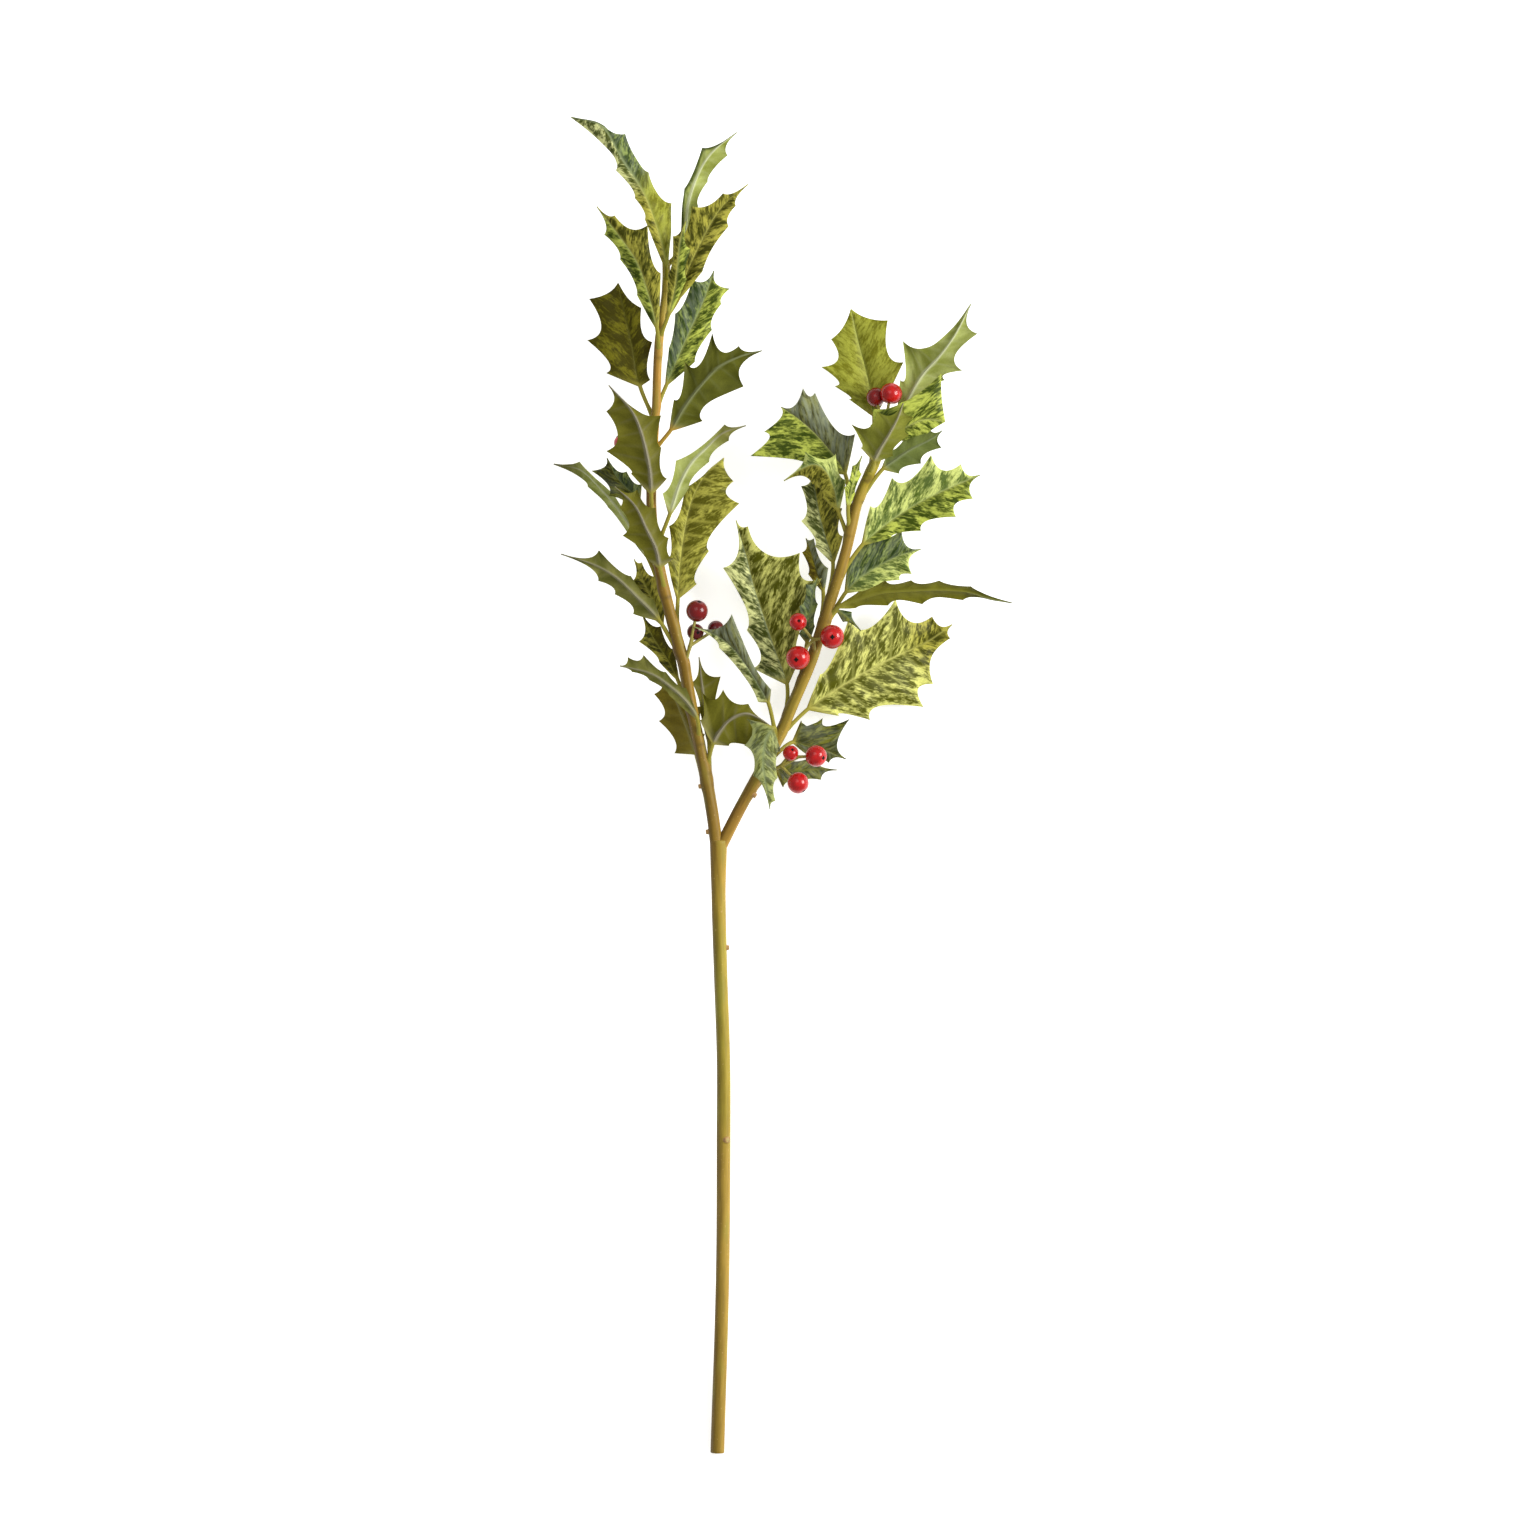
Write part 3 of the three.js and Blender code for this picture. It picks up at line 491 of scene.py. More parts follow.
LEAVES = (
    Leaf("l01", "left", at=281, clock=95, roll=-25, fold=-15, wave=0.6, tip_cut=1.2,
         rib=((-26.3, 287, 38), (-28.3, 298, 38.3), (-32.3, 311, 37.9), (-37.5, 324, 38),
              (-49, 342, 37), (-59, 358, 33), (-74, 362.5, 28)),
         left=((-37, 311), (-42, 321.5), (-51.5, 335.5)),
         right=((-23.5, 319.5), (-35, 335), (-46.7, 354.2)),
         face=Face.UPPER, looks=(Look.MARBLED, Look.LIME),
         tip_looks=(Look.CREAM, Look.BLUED), turn=0.5, stalk="#7a7420"),
    Leaf("l03", "left", at=290, clock=0, roll=-30, fold=0, wave=0.6,
         rib=((-18.5, 298, 31), (-15, 321, 32), (-8, 338.5, 35), (-1, 347, 36), (9, 354.5, 36)),
         left=((-17.5, 326.5), (-8.5, 347)),
         right=((-10.5, 318), (-5.5, 330), (4.5, 343)),
         face=Face.UNDER, looks=(Look.SHADED_BACK, Look.PALE_BACK)),
    Leaf("l04", "left", at=262, clock=30, roll=5, fold=10, wave=0.8, cut=0.45,
         rib=((-20, 272, 38), (-16, 283.5, 39), (-8, 301, 40), (1.5, 317, 40), (14.5, 328.5, 38)),
         left=((-21, 301), (-13.7, 317.5), (2, 324)),
         right=((-8, 285), (4.8, 307.5), (8.5, 317.5)),
         face=Face.UPPER, looks=(Look.MARBLED, Look.MARBLED)),
    Leaf("l05", "left", at=254, clock=85, roll=10, fold=-10, wave=0.4,
         rib=((-25, 264, 41), (-21.8, 277, 43.5), (-20.5, 289, 45), (-19.3, 300, 45),
              (-16.5, 310, 44)),
         left=((-25.2, 284), (-23, 302.5)),
         right=((-16, 281), (-14, 296)),
         face=Face.UPPER, looks=(Look.MARBLED, Look.LIME_MARBLE)),
    Leaf("l06", "left", at=247, clock=60, roll=15, fold=-8, wave=0.6,
         rib=((-31, 257, 41), (-35, 273.5, 42), (-41, 290, 41), (-49.5, 302.5, 38),
              (-61, 317.5, 34)),
         left=((-41, 273), (-49.5, 291), (-57.5, 303.5)),
         right=((-29, 284), (-35.5, 308), (-52, 313)),
         face=Face.UPPER, looks=(Look.LIME_MARBLE, Look.MARBLED)),
    Leaf("l07", "left", at=214, clock=180, roll=12, fold=8, wave=0.8, tip_cut=0.4,
         rib=((-39.5, 228, 30), (-43.5, 248.5, 28), (-47, 265, 27), (-50.5, 279.5, 26)),
         left=((-56.5, 234.5), (-66, 251), (-65, 271.7)),
         right=((-34.2, 231), (-33.5, 250), (-39, 267)),
         face=Face.UPPER, looks=(Look.DEEP, Look.DEEP)),
    Leaf("l08", "left", at=221, clock=0, roll=-15, fold=5, wave=0.6, cut=0.35,
         rib=((-26, 229, 33), (-15.5, 253.5, 33), (-8.5, 268.5, 33), (-2.5, 285.5, 33)),
         left=((-25, 247), (-22, 264), (-13.5, 281)),
         right=((-12, 240), (-3.5, 256), (1.2, 269), (5.5, 276.7)),
         face=Face.UPPER, looks=(Look.BLUED, Look.LIME_MARBLE)),
    Leaf("l09", "left", at=199, clock=0, roll=-10, fold=-12, wave=0.8, cut=0.9, tip_cut=0.9,
         rib=((-24, 206, 34), (-17.5, 217, 36), (-9.5, 227.5, 38), (-0.5, 237, 38),
              (10.5, 242.5, 37), (21.5, 245.5, 35)),
         left=((-22.5, 221), (-17, 240), (-3.3, 254.5), (10, 248)),
         right=((-8, 210.3), (12.3, 227.8)),
         face=Face.UNDER, looks=(Look.DARK_BACK, Look.DARK_BACK), stalk="#a28434"),
    Leaf("l10", "left", at=165, clock=90, roll=0, fold=-18, wave=0.8,
         rib=((-33.8, 174, 41), (-34.5, 186, 44), (-38, 202, 46), (-43, 214.5, 46),
              (-55, 228, 43)),
         left=((-44, 184), (-56.3, 195.3), (-56.3, 215)),
         right=((-26, 181.5), (-28.5, 197), (-29, 213)),
         face=Face.UNDER, looks=(Look.OLIVE_BACK, Look.OLIVE_BACK)),
    Leaf("l11", "left", at=129, clock=190, roll=55, fold=0, wave=0.4,
         rib=((-36, 143, 27), (-49.5, 165, 20), (-59.5, 177, 14), (-69.5, 186.5, 7.5),
              (-83, 189.5, 0)),
         left=((-45, 153), (-56, 167.5), (-66, 178)),
         right=((-39, 154), (-53, 175), (-70, 190.7)),
         face=Face.UNDER, looks=(Look.PALE_BACK, Look.PALE_BACK),
         tip_looks=(Look.SAGE_BACK, Look.SAGE_BACK), turn=0.85),
    Leaf("l12", "left", at=128, clock=80, roll=0, fold=-15, wave=0.7,
         rib=((-29.5, 137, 38), (-31.5, 146.5, 40), (-36, 156, 42), (-42, 168, 42),
              (-52, 177.5, 40)),
         left=((-37.5, 143), (-48, 153.2), (-49.5, 167)),
         right=((-22.5, 141.5), (-25.2, 152), (-31.5, 167), (-41, 176)),
         face=Face.UNDER, looks=(Look.OLIVE_BACK, Look.OLIVE_BACK)),
    Leaf("l13", "left", at=160, clock=180, roll=5, fold=12, wave=0.6,
         rib=((-40, 171, 31), (-47, 177.5, 30), (-52, 183.5, 29), (-56, 192, 28)),
         left=((-45, 166), (-55, 173), (-63.8, 185.7)),
         right=((-38.5, 179), (-46.3, 185.3)),
         face=Face.UPPER, looks=(Look.GREEN, Look.BLUED)),
    Leaf("l14", "left", at=151, clock=20, roll=-15, fold=0, wave=0.5,
         rib=((-24.5, 164, 37), (-19, 180, 40), (-13.5, 189.5, 41), (-6.5, 196.5, 41),
              (1.5, 204, 40), (13.5, 208, 38)),
         left=((-28, 174), (-21.5, 190.5), (3, 208.5)),
         right=((-15, 177), (-5, 190), (5, 200.5)),
         face=Face.UNDER, looks=(Look.PALE_BACK, Look.PALE_BACK),
         tip_looks=(Look.SAGE_BACK, Look.SAGE_BACK), turn=0.75),
    Leaf("l15", "left", at=111, clock=0, roll=-8, fold=10, wave=0.8, tip_cut=0.45,
         rib=((-20.5, 122, 30), (-19.5, 138, 29), (-17.5, 153.5, 29), (-13.5, 171, 30),
              (-6.5, 184, 31), (2.5, 192, 31)),
         left=((-26, 141), (-25, 158), (-17, 177)),
         right=((-11, 129), (-5, 145.5), (10.2, 169.2), (7.3, 180.3)),
         face=Face.UPPER, looks=(Look.NETTED, Look.NETTED)),
    Leaf("l16", "left", at=99, clock=175, roll=10, fold=-10, wave=0.6, tip_cut=1,
         rib=((-30, 111, 31), (-41.5, 123, 31), (-51, 132, 30), (-61, 138, 28), (-79, 144, 25)),
         left=((-43, 114), (-52, 124), (-60.5, 130.5)),
         right=((-33, 121.5), (-44, 133), (-60, 146)),
         face=Face.UNDER, looks=(Look.SAGE_BACK, Look.SAGE_BACK)),
    Leaf("l17", "left", at=98, clock=215, roll=8, fold=5, wave=0.5,
         rib=((-28.5, 109, 25), (-32, 118.5, 23), (-37, 128.5, 21), (-42.5, 141.5, 19)),
         left=((-39.5, 118), (-44.5, 130)),
         right=((-27, 120), (-31, 133), (-38.5, 140)),
         face=Face.UPPER, looks=(Look.MARBLED, Look.MARBLED)),
    Leaf("l18", "left", at=70, clock=180, roll=10, fold=10, wave=0.5,
         rib=((-21, 82, 25), (-26, 92, 22.5), (-32, 101, 21), (-39, 115, 19)),
         left=((-30, 90), (-40.2, 100.3)),
         right=((-22.5, 96), (-29, 108)),
         face=Face.UPPER, looks=(Look.MARBLED, Look.DEEP)),
    Leaf("l19", "left", at=54, clock=70, roll=15, fold=-5, wave=0.5,
         rib=((-11, 62, 35), (-16, 70, 37), (-23.5, 77, 37), (-33.5, 84, 35), (-49.5, 88, 31)),
         left=((-25, 73.5), (-35, 81), (-43.5, 85)),
         right=((-16.5, 77), (-26.5, 85), (-37.7, 93.5), (-45.5, 92.5)),
         face=Face.UNDER, looks=(Look.SAGE_BACK, Look.SAGE_BACK)),
    Leaf("l20", "left", at=32, clock=200, roll=15, fold=5, wave=0.5,
         rib=((-11.5, 44, 21), (-14, 52, 19), (-18.5, 63.5, 16), (-23.5, 75, 13), (-29.5, 84, 11)),
         left=((-22.5, 44.5), (-30.2, 60.5), (-32.5, 74)),
         right=((-7, 54), (-9, 68), (-17, 78)),
         face=Face.UNDER, looks=(Look.TAN_BACK, Look.TAN_BACK)),
    Leaf("l21", "left", at=34, clock=345, roll=-5, fold=12, wave=0.5,
         rib=((-5, 50, 26), (-6.5, 63.5, 25), (-8.5, 78.5, 25), (-10, 92.5, 26)),
         left=((-9.5, 66), (-13.5, 80)),
         right=((-1, 62), (0.8, 82.8)),
         face=Face.UNDER, looks=(Look.OLIVE_BACK, Look.OLIVE_BACK)),
    Leaf("l22", "left", at=40, clock=15, roll=0, fold=-10, wave=0.8, cut=0.45, tip_cut=0.6,
         rib=((-3, 49, 31), (1, 56, 33), (6, 61.5, 33.5), (12.5, 64.2, 33), (19, 62.5, 32),
              (25, 58.5, 30)),
         left=((-9.5, 61), (-8.4, 75), (2, 76.5), (14.6, 69)),
         right=((5, 48), (14, 48.2)),
         face=Face.UNDER, looks=(Look.OLIVE_BACK, Look.OLIVE_BACK)),
    Leaf("r01", "right", at=52, clock=90, roll=0, fold=-12, wave=0.8,
         rib=((27.5, 57, 38), (23.5, 51.5, 40), (22, 40, 40), (23.5, 28.5, 38), (25.5, 16.5, 35)),
         left=((31, 45), (29.5, 32), (28.3, 20.5)),
         right=((13.8, 61.5), (12.7, 48.2), (17, 33)),
         face=Face.UPPER, looks=(Look.SAGE, Look.SAGE)),
    Leaf("r02", "right", at=55, clock=150, roll=15, fold=8, wave=0.5, cut=0.25,
         rib=((24.5, 70, 33), (19.5, 79.5, 34), (14.5, 87, 35), (8, 96, 36), (-1.5, 103.5, 36),
              (-12, 107.5, 35)),
         left=((19.5, 70), (12.7, 82.5), (0, 97)),
         right=((26, 76), (17, 89), (6.5, 114)),
         face=Face.UPPER, looks=(Look.CREAM, Look.SHEENED)),
    Leaf("r03", "right", at=68, clock=195, roll=5, fold=8, wave=1, cut=0.7, tip_cut=0.9,
         rib=((34, 79, 25), (28.5, 95, 21), (24.5, 106.5, 19), (20.5, 118.5, 18), (17, 129.5, 18),
              (14.5, 140, 19), (8.5, 161, 22)),
         left=((17, 87), (13.8, 106), (1.8, 137.2)),
         right=((42, 96), (43, 112), (51.5, 132), (40.5, 144.7), (14.5, 158)),
         face=Face.UPPER, looks=(Look.CREAM, Look.STREAKED)),
    Leaf("r04", "right", at=113, clock=215, roll=10, fold=15, wave=0.5,
         rib=((52, 126, 22), (49, 135, 20), (46.5, 143.5, 19), (43.5, 152, 18)),
         left=((44.5, 134), (41.5, 145)),
         right=((54.5, 137), (47.5, 152)),
         face=Face.UPPER, looks=(Look.OLIVE, Look.SHEENED)),
    Leaf("r05", "right", at=124, clock=200, roll=10, fold=10, wave=0.5,
         rib=((57, 140, 28), (53.5, 152, 26), (50.5, 163.5, 24), (46.5, 186, 22)),
         left=((48, 148), (41, 160.5), (41, 178)),
         right=((62, 153), (61.5, 167), (58.5, 181)),
         face=Face.UPPER, looks=(Look.CREAM, Look.MARBLED)),
    Leaf("r06", "right", at=156, clock=175, roll=0, fold=-12, wave=0.5,
         rib=((59.5, 166, 34), (57.5, 176, 36), (53.5, 185, 38), (48, 188.5, 38), (40.5, 186, 36),
              (32.5, 180.5, 33)),
         left=((51.5, 172), (46.5, 179)),
         right=((63.5, 181), (58.5, 194), (43, 195)),
         face=Face.UPPER, looks=(Look.MARBLED, Look.PALE)),
    Leaf("r07", "right", at=164, clock=185, roll=0, fold=8, wave=1, cut=0.7,
         rib=((63, 184, 30), (51.5, 200.5, 28), (40.5, 211, 27), (31, 217.5, 27)),
         left=((45, 186), (15.7, 193), (22.5, 205)),
         right=((68, 204), (48, 224.7), (42, 227)),
         face=Face.UPPER, looks=(Look.LIME_MARBLE, Look.SHEENED)),
    Leaf("r08", "right", at=158, clock=120, roll=-50, fold=0, wave=0.3,
         rib=((64.5, 168, 38), (66.5, 178, 40), (69, 187, 40), (71.5, 193, 40)),
         left=((63, 177), (66.5, 188)),
         right=((68, 174), (71, 184)),
         face=Face.UPPER, looks=(Look.LIME_MARBLE, Look.LIME_MARBLE)),
    Leaf("r09", "right", at=190, clock=240, roll=0, fold=8, wave=1, tip_cut=0.3,
         rib=((77.5, 213, 26.5), (76, 224, 23), (73.5, 236, 22), (69.5, 251, 22.5),
              (66, 266.5, 24.5)),
         left=((65, 221.5), (58, 228), (51, 237.5), (56, 251.5)),
         right=((92.5, 240), (84.5, 261)),
         face=Face.UPPER, looks=(Look.LIME, Look.LIME)),
    Leaf("r10", "right", at=191, clock=330, roll=5, fold=-5, wave=0.8, cut=0.9, tip_cut=1,
         rib=((89.5, 208.5, 30), (95, 222, 29.5), (101.5, 233, 31), (110.5, 243, 34),
              (118, 253.5, 37), (126, 269, 39)),
         left=((90.5, 231), (91.7, 250.7)),
         right=((104, 222), (113, 231), (121.7, 235.5), (129.2, 254)),
         face=Face.UNDER, looks=(Look.PALE_BACK, Look.PALE_BACK)),
    Leaf("r11", "right", at=187, clock=50, roll=0, fold=5, wave=0.8, cut=0.25, tip_cut=0.1,
         rib=((87, 202, 39), (95, 208, 41), (103, 211, 41), (113, 210, 40)),
         left=((75.5, 208), (76, 216.5), (91, 219.5), (111, 234)),
         right=((93, 200), (104, 204)),
         face=Face.UPPER, looks=(Look.LIME_MARBLE, Look.LIME_MARBLE)),
    Leaf("r12", "right", at=186, clock=90, roll=0, fold=-15, wave=0.8,
         rib=((77.5, 190, 43), (80.5, 196, 45), (85, 203.5, 47), (89.5, 212, 48), (92, 219, 47)),
         left=((70.5, 197), (66, 208.7), (79, 215)),
         right=((87, 193), (95, 203), (97, 212)),
         face=Face.UNDER, looks=(Look.LIME_BACK, Look.LIME_BACK)),
    Leaf("r13", "right", at=176, clock=0, roll=0, fold=5, wave=0.6,
         rib=((82, 186.5, 35), (88, 191, 35), (95.5, 196, 35), (105.5, 201, 35),
              (111.5, 205.5, 35)),
         left=((85, 196), (94, 203.5), (104, 208)),
         right=((90, 184), (101, 189), (111.3, 197)),
         face=Face.UNDER, looks=(Look.TEAL_BACK, Look.TEAL_BACK)),
    Leaf("r14", "right", at=139, clock=0, roll=-5, fold=8, wave=1,
         rib=((72, 149, 32), (76.5, 153, 31), (86.5, 161, 30), (98, 168.5, 30), (113, 176, 31),
              (130.5, 183.5, 32)),
         left=((75.5, 168), (86.5, 182), (106, 193.5), (121, 189)),
         right=((86, 152), (101, 155.5), (118.5, 162.5), (127, 171.5)),
         face=Face.UPPER, looks=(Look.PALE, Look.LIME_MARBLE)),
    Leaf("r15", "right", at=113, clock=340, roll=0, fold=8, wave=0.8, cut=0.4,
         rib=((63.5, 125, 26), (68, 130, 25), (78, 137, 23), (89.5, 143, 22), (101, 146.5, 21)),
         left=((64.5, 141), (75, 154), (91.5, 156)),
         right=((79, 127), (90.5, 131), (96.5, 134)),
         face=Face.UPPER, looks=(Look.BLUED, Look.PALE)),
    Leaf("r16", "right", at=116, clock=20, roll=-50, fold=0, wave=0.5,
         rib=((60, 117.5, 35), (69, 120.8, 36), (80, 124.2, 37), (95.5, 125.5, 37),
              (110.5, 126, 36), (124.5, 125, 34), (135.5, 121.5, 32), (146.5, 119.5, 30)),
         left=((70, 125), (83, 131), (96, 130.3), (110, 130.8), (126, 128)),
         right=((68.5, 116.8), (84.5, 118.5), (101.5, 119.3), (122, 121.3)),
         face=Face.UNDER, looks=(Look.PLAIN_BACK, Look.PLAIN_BACK),
         tip_looks=(Look.DARK_BACK, Look.DARK_BACK), turn=0.82, stalk="#8a8534"),
    Leaf("r17", "right", at=58, clock=330, roll=-12, fold=6, wave=1.4,
         rib=((44.5, 66.5, 23), (56.5, 75, 19.5), (68, 82, 15.5), (80.5, 89, 10.5), (93, 95, 4.5),
              (105.5, 101, -1), (117, 109, -2.5)),
         left=((50.5, 84), (64.8, 112), (88.3, 121.7), (107, 113)),
         right=((60, 63), (75.8, 61), (102.3, 67.5), (107.5, 79.2), (116, 102)),
         face=Face.UPPER, looks=(Look.STREAKED, Look.STREAKED),
         tip_looks=(Look.MARBLED, Look.MARBLED), turn=0.75),
    Leaf("r18", "right", at=44, clock=330, roll=-5, fold=5, wave=0.6,
         rib=((37, 50, 20), (43, 48.5, 17), (53, 46, 12), (63.5, 41.5, 7)),
         left=((41, 61), (52, 62), (65.5, 61.5)),
         right=((45, 43), (55, 39.5)),
         face=Face.UPPER, looks=(Look.GREEN, Look.GREEN)),
    Leaf("r19", "right", at=29, clock=335, roll=0, fold=5, wave=0.6,
         rib=((28, 36, 19), (38, 35.5, 14), (48, 36.5, 9), (59, 36, 5)),
         left=((35, 42), (47, 42.5)),
         right=((32, 27), (41, 28), (51, 31)),
         face=Face.UPPER, looks=(Look.GREEN, Look.GREEN)),
    Leaf("r20", "right", at=110, clock=5, roll=10, fold=0, wave=0.3,
         rib=((59, 115.5, 31), (63, 113.2, 31), (67, 110, 30), (71, 105.5, 29)),
         left=((66.5, 115),),
         right=((62, 109.8),),
         face=Face.UPPER, looks=(Look.BLUED, Look.GREEN)),
    Leaf("r21", "right", at=84, clock=190, roll=-10, fold=10, wave=0.4,
         rib=((44, 100, 27), (45, 110, 27), (46.5, 121, 27.5), (49, 132, 27.5)),
         left=((40, 104), (40, 118), (43.5, 129)),
         right=((48, 108), (49.5, 119)),
         face=Face.UPPER, looks=(Look.BLUED, Look.BLUED)),
)


@dataclass(frozen=True)
class Berry:
    """A berry: its centre and width in mm, where its crown points, its fork and how dark its skin
    is.

    The last field darkens the skin: 0 is bright red and 1 is deep wine red.
    """

    centre: tuple[float, float, float]
    across: float
    crown: tuple[float, float, float]
    fork: int = 0
    skin_darkening: float = 0.0


@dataclass(frozen=True)
class Cluster:
    """Berries on one branching stalk."""

    name: str
    twig: str
    at: float
    clock: float
    forks: tuple[tuple[float, float, float], ...]
    berries: tuple[Berry, ...]


CLUSTERS = (
    Cluster("a", "left", 92, 45, ((-14.5, 98, 33),), (
        Berry((-11, 115.5, 33), 11, (0.2, 0.75, 0.35), skin_darkening=0.8),
        Berry((-11.8, 105, 30), 8.5, (0.3, -0.1, 0.9), skin_darkening=1.0),
        Berry((-1.5, 106.5, 27.5), 8.5, (0.9, 0.3, -0.2), skin_darkening=1.0),
    )),
    Cluster("b", "left", 182, 175, ((-41, 191, 35),), (
        Berry((-48, 199.5, 36), 9, (-0.6, 0.7, 0.1)),
    )),
    Cluster("c", "right", 97, 90, ((47, 101, 38),), (
        Berry((56.5, 102.5, 41.5), 12, (0.02, -0.03, 1)),
        Berry((39.5, 92, 39), 12, (-0.17, -0.17, 0.97)),
        Berry((39.5, 110, 39), 8.8, (0.12, 0.1, 0.98)),
    )),
    Cluster("d", "right", 37, 20, ((31, 38, 31), (39, 42.5, 33)), (
        Berry((48.5, 43, 33), 10.8, (0.72, -0.2, 0.66), 1),
        Berry((35.8, 44.5, 33.5), 7.8, (0.25, 0.45, 0.85)),
        Berry((39.5, 29.5, 33), 10.8, (0.55, -0.8, 0.2)),
    )),
    Cluster("e", "right", 189, 90, ((82, 206, 37.2),), (
        Berry((86, 224, 36), 11, (0.1, 0.9, -0.2)),
        Berry((78.5, 222.4, 32), 9.8, (-0.7, 0.6, -0.1), skin_darkening=0.7),
    )),
)


# ---- Building the pieces ----


@dataclass
class HalfLooks:
    """Reads a blade's looks at the corners of its faces.

    kind numbers each face's half: 0 and 1 are the left and right of the upper grid, 2 and 3 those
    of the lower grid. far is 0 where the near looks hold and 1 where the far ones do.
    """

    near: list[Look]
    beyond: list[Look]
    kind: np.ndarray
    far: np.ndarray

    def number(self, part: str) -> np.ndarray:
        """Reads a number of the looks, blended towards the tip.

        Args:
            part: the name of a HalfLook's number.

        Returns:
            The number at each corner.
        """
        near, beyond = (
            np.array([getattr(look.value, part) for look in group])[self.kind][:, None]
            for group in (self.near, self.beyond)
        )
        return near + (beyond - near) * self.far

    def colour(self, part: str, tone: float) -> np.ndarray:
        """Reads a colour of the looks, blended towards the tip.

        Args:
            part: the name of a HalfLook's colour.
            tone: how much lighter or darker this leaf is, as a factor.

        Returns:
            The linear colour at each corner.
        """
        near, beyond = (
            np.array([linear(getattr(look.value, part)) for look in group])[self.kind][:, None]
            for group in (self.near, self.beyond)
        )
        colours = near + (beyond - near) * self.far[..., None]
        colours[..., :3] *= tone
        return colours


@dataclass
class Blade:
    """A leaf's blade and stalk, worked out as one surface with a thickness.

    A row of the surface crosses the blade at one share of the midrib, from the left margin over
    the midrib to the right margin. The margins are arcs drawn in between the spine tips. Sizes
    are in mm, and shares are of the midrib's length.
    """

    leaf: Leaf
    order: int

    # The grid: its rows, the extra rows beside each spine, and columns that crowd to the midrib.
    row_step: float = 1.1
    spine_row_share: float = 0.007
    least_row_share: float = 0.002
    half_columns: int = 9
    column_power: float = 1.45

    # Half thicknesses, the stalk, and how the stalk opens into the blade.
    half_thickness: float = 0.25
    edge_thickness: float = 0.1
    stalk_half_width: float = 1.0
    stalk_half_depth: float = 0.75
    stalk_flare: float = 0.35
    root_depth: float = 1.2
    root_drop: float = 2.5
    opening_share: float = 0.05
    tip_half_width: float = 0.3

    # The margin: how far a spine leans forward, and how the arcs between spines are drawn in.
    vein_lean: float = 0.55
    spine_spacing: float = 0.04
    sinus_share: float = 0.2
    sinus_limit: float = 0.9
    base_swell: float = -0.12

    # Relief: crown of each half, pillows between side veins, a ruffled edge, and the midrib,
    # which fades out at taper_end, a little past the tip.
    vein_pitch: float = 7.5
    camber: float = 0.08
    camber_limit: float = 1.2
    pillow: float = 0.22
    pillow_power: float = 0.7
    ruffle: float = 0.5
    ruffle_pitch: float = 21.0
    ruffle_from: float = 8.0
    leaf_phase: float = 2.4
    side_phase: float = 1.7
    rib_rise: float = 0.5
    rib_spread: float = 0.6
    rib_sink: float = 0.22
    groove_spread: float = 0.5
    taper_end: float = 1.02
    floor_gap: float = 0.02
    least_thickness: float = 0.15

    # The marbling: the angle of its streaks, and how far apart two leaves' and two halves' are.
    streak_turn: float = 38.0
    pattern_step: tuple[float, float] = (53.0, 31.0)
    half_step: float = 271.0

    # Painted lines: the midrib's strength, its half width at the tip and what that gains at the
    # base, how sharp a side vein is, the pale edge's width, and the stalk's fading.
    narrow_rib: tuple[float, float, float] = (0.75, 0.3, 0.45)
    broad_rib: tuple[float, float, float] = (0.85, 0.25, 1.3)
    vein_power: int = 12
    pale_edge: tuple[float, float] = (0.3, 3.0)
    stalk_fade: float = 0.06

    # How light or dark a leaf may be, and how softly its looks change towards the tip.
    tone_range: tuple[float, float] = (0.94, 1.06)
    look_blend: float = 0.1
    crease: float = 48.0

    def __post_init__(self) -> None:
        """Works out the midrib, the two margins and the shares of the rows."""
        leaf = self.leaf
        root = TWIGS[leaf.twig].off_bark(leaf.at - self.root_drop, leaf.clock, -self.root_depth)
        self.rib = Path(np.vstack([root, leaf.rib]))
        self.base = self.rib.nearest(*leaf.rib[0][:2])
        self.margins = {side: self.margin_anchors(side) for side in (-1, 1)}
        stops = np.concatenate([shares for shares, _ in self.margins.values()])
        even = np.linspace(0, 1, int(self.rib.length / self.row_step))
        beside = self.spine_row_share
        near = np.concatenate([stops - beside, stops, stops + beside])
        rows = np.unique(np.concatenate([even, near]).clip(0, 1))
        keep = np.concatenate([[True], np.diff(rows) > self.least_row_share])
        keep |= np.isin(rows, stops)
        self.rows = rows[keep]
        self.taper = np.sqrt(np.clip(self.taper_end - self.rows, 0, 1))[:, None]

    def build(self, finishes: list[bpy.types.Material]) -> bpy.types.Object:
        """Builds the leaf.

        Args:
            finishes: the glossy face's and the underside's.

        Returns:
            The leaf as one piece.
        """
        name = f"blade_{self.leaf.name}"
        mesh = self.shell().mesh(name, finishes, self.crease)
        return place(name, mesh, f"leaf_{self.leaf.name}")

    def right_of(self, share: np.ndarray | float) -> np.ndarray:
        """The direction in plan from the midrib to its right-hand side."""
        along = self.rib.along(share)
        return unit(np.stack([along[..., 1], -along[..., 0], np.zeros(along.shape[:-1])], -1))

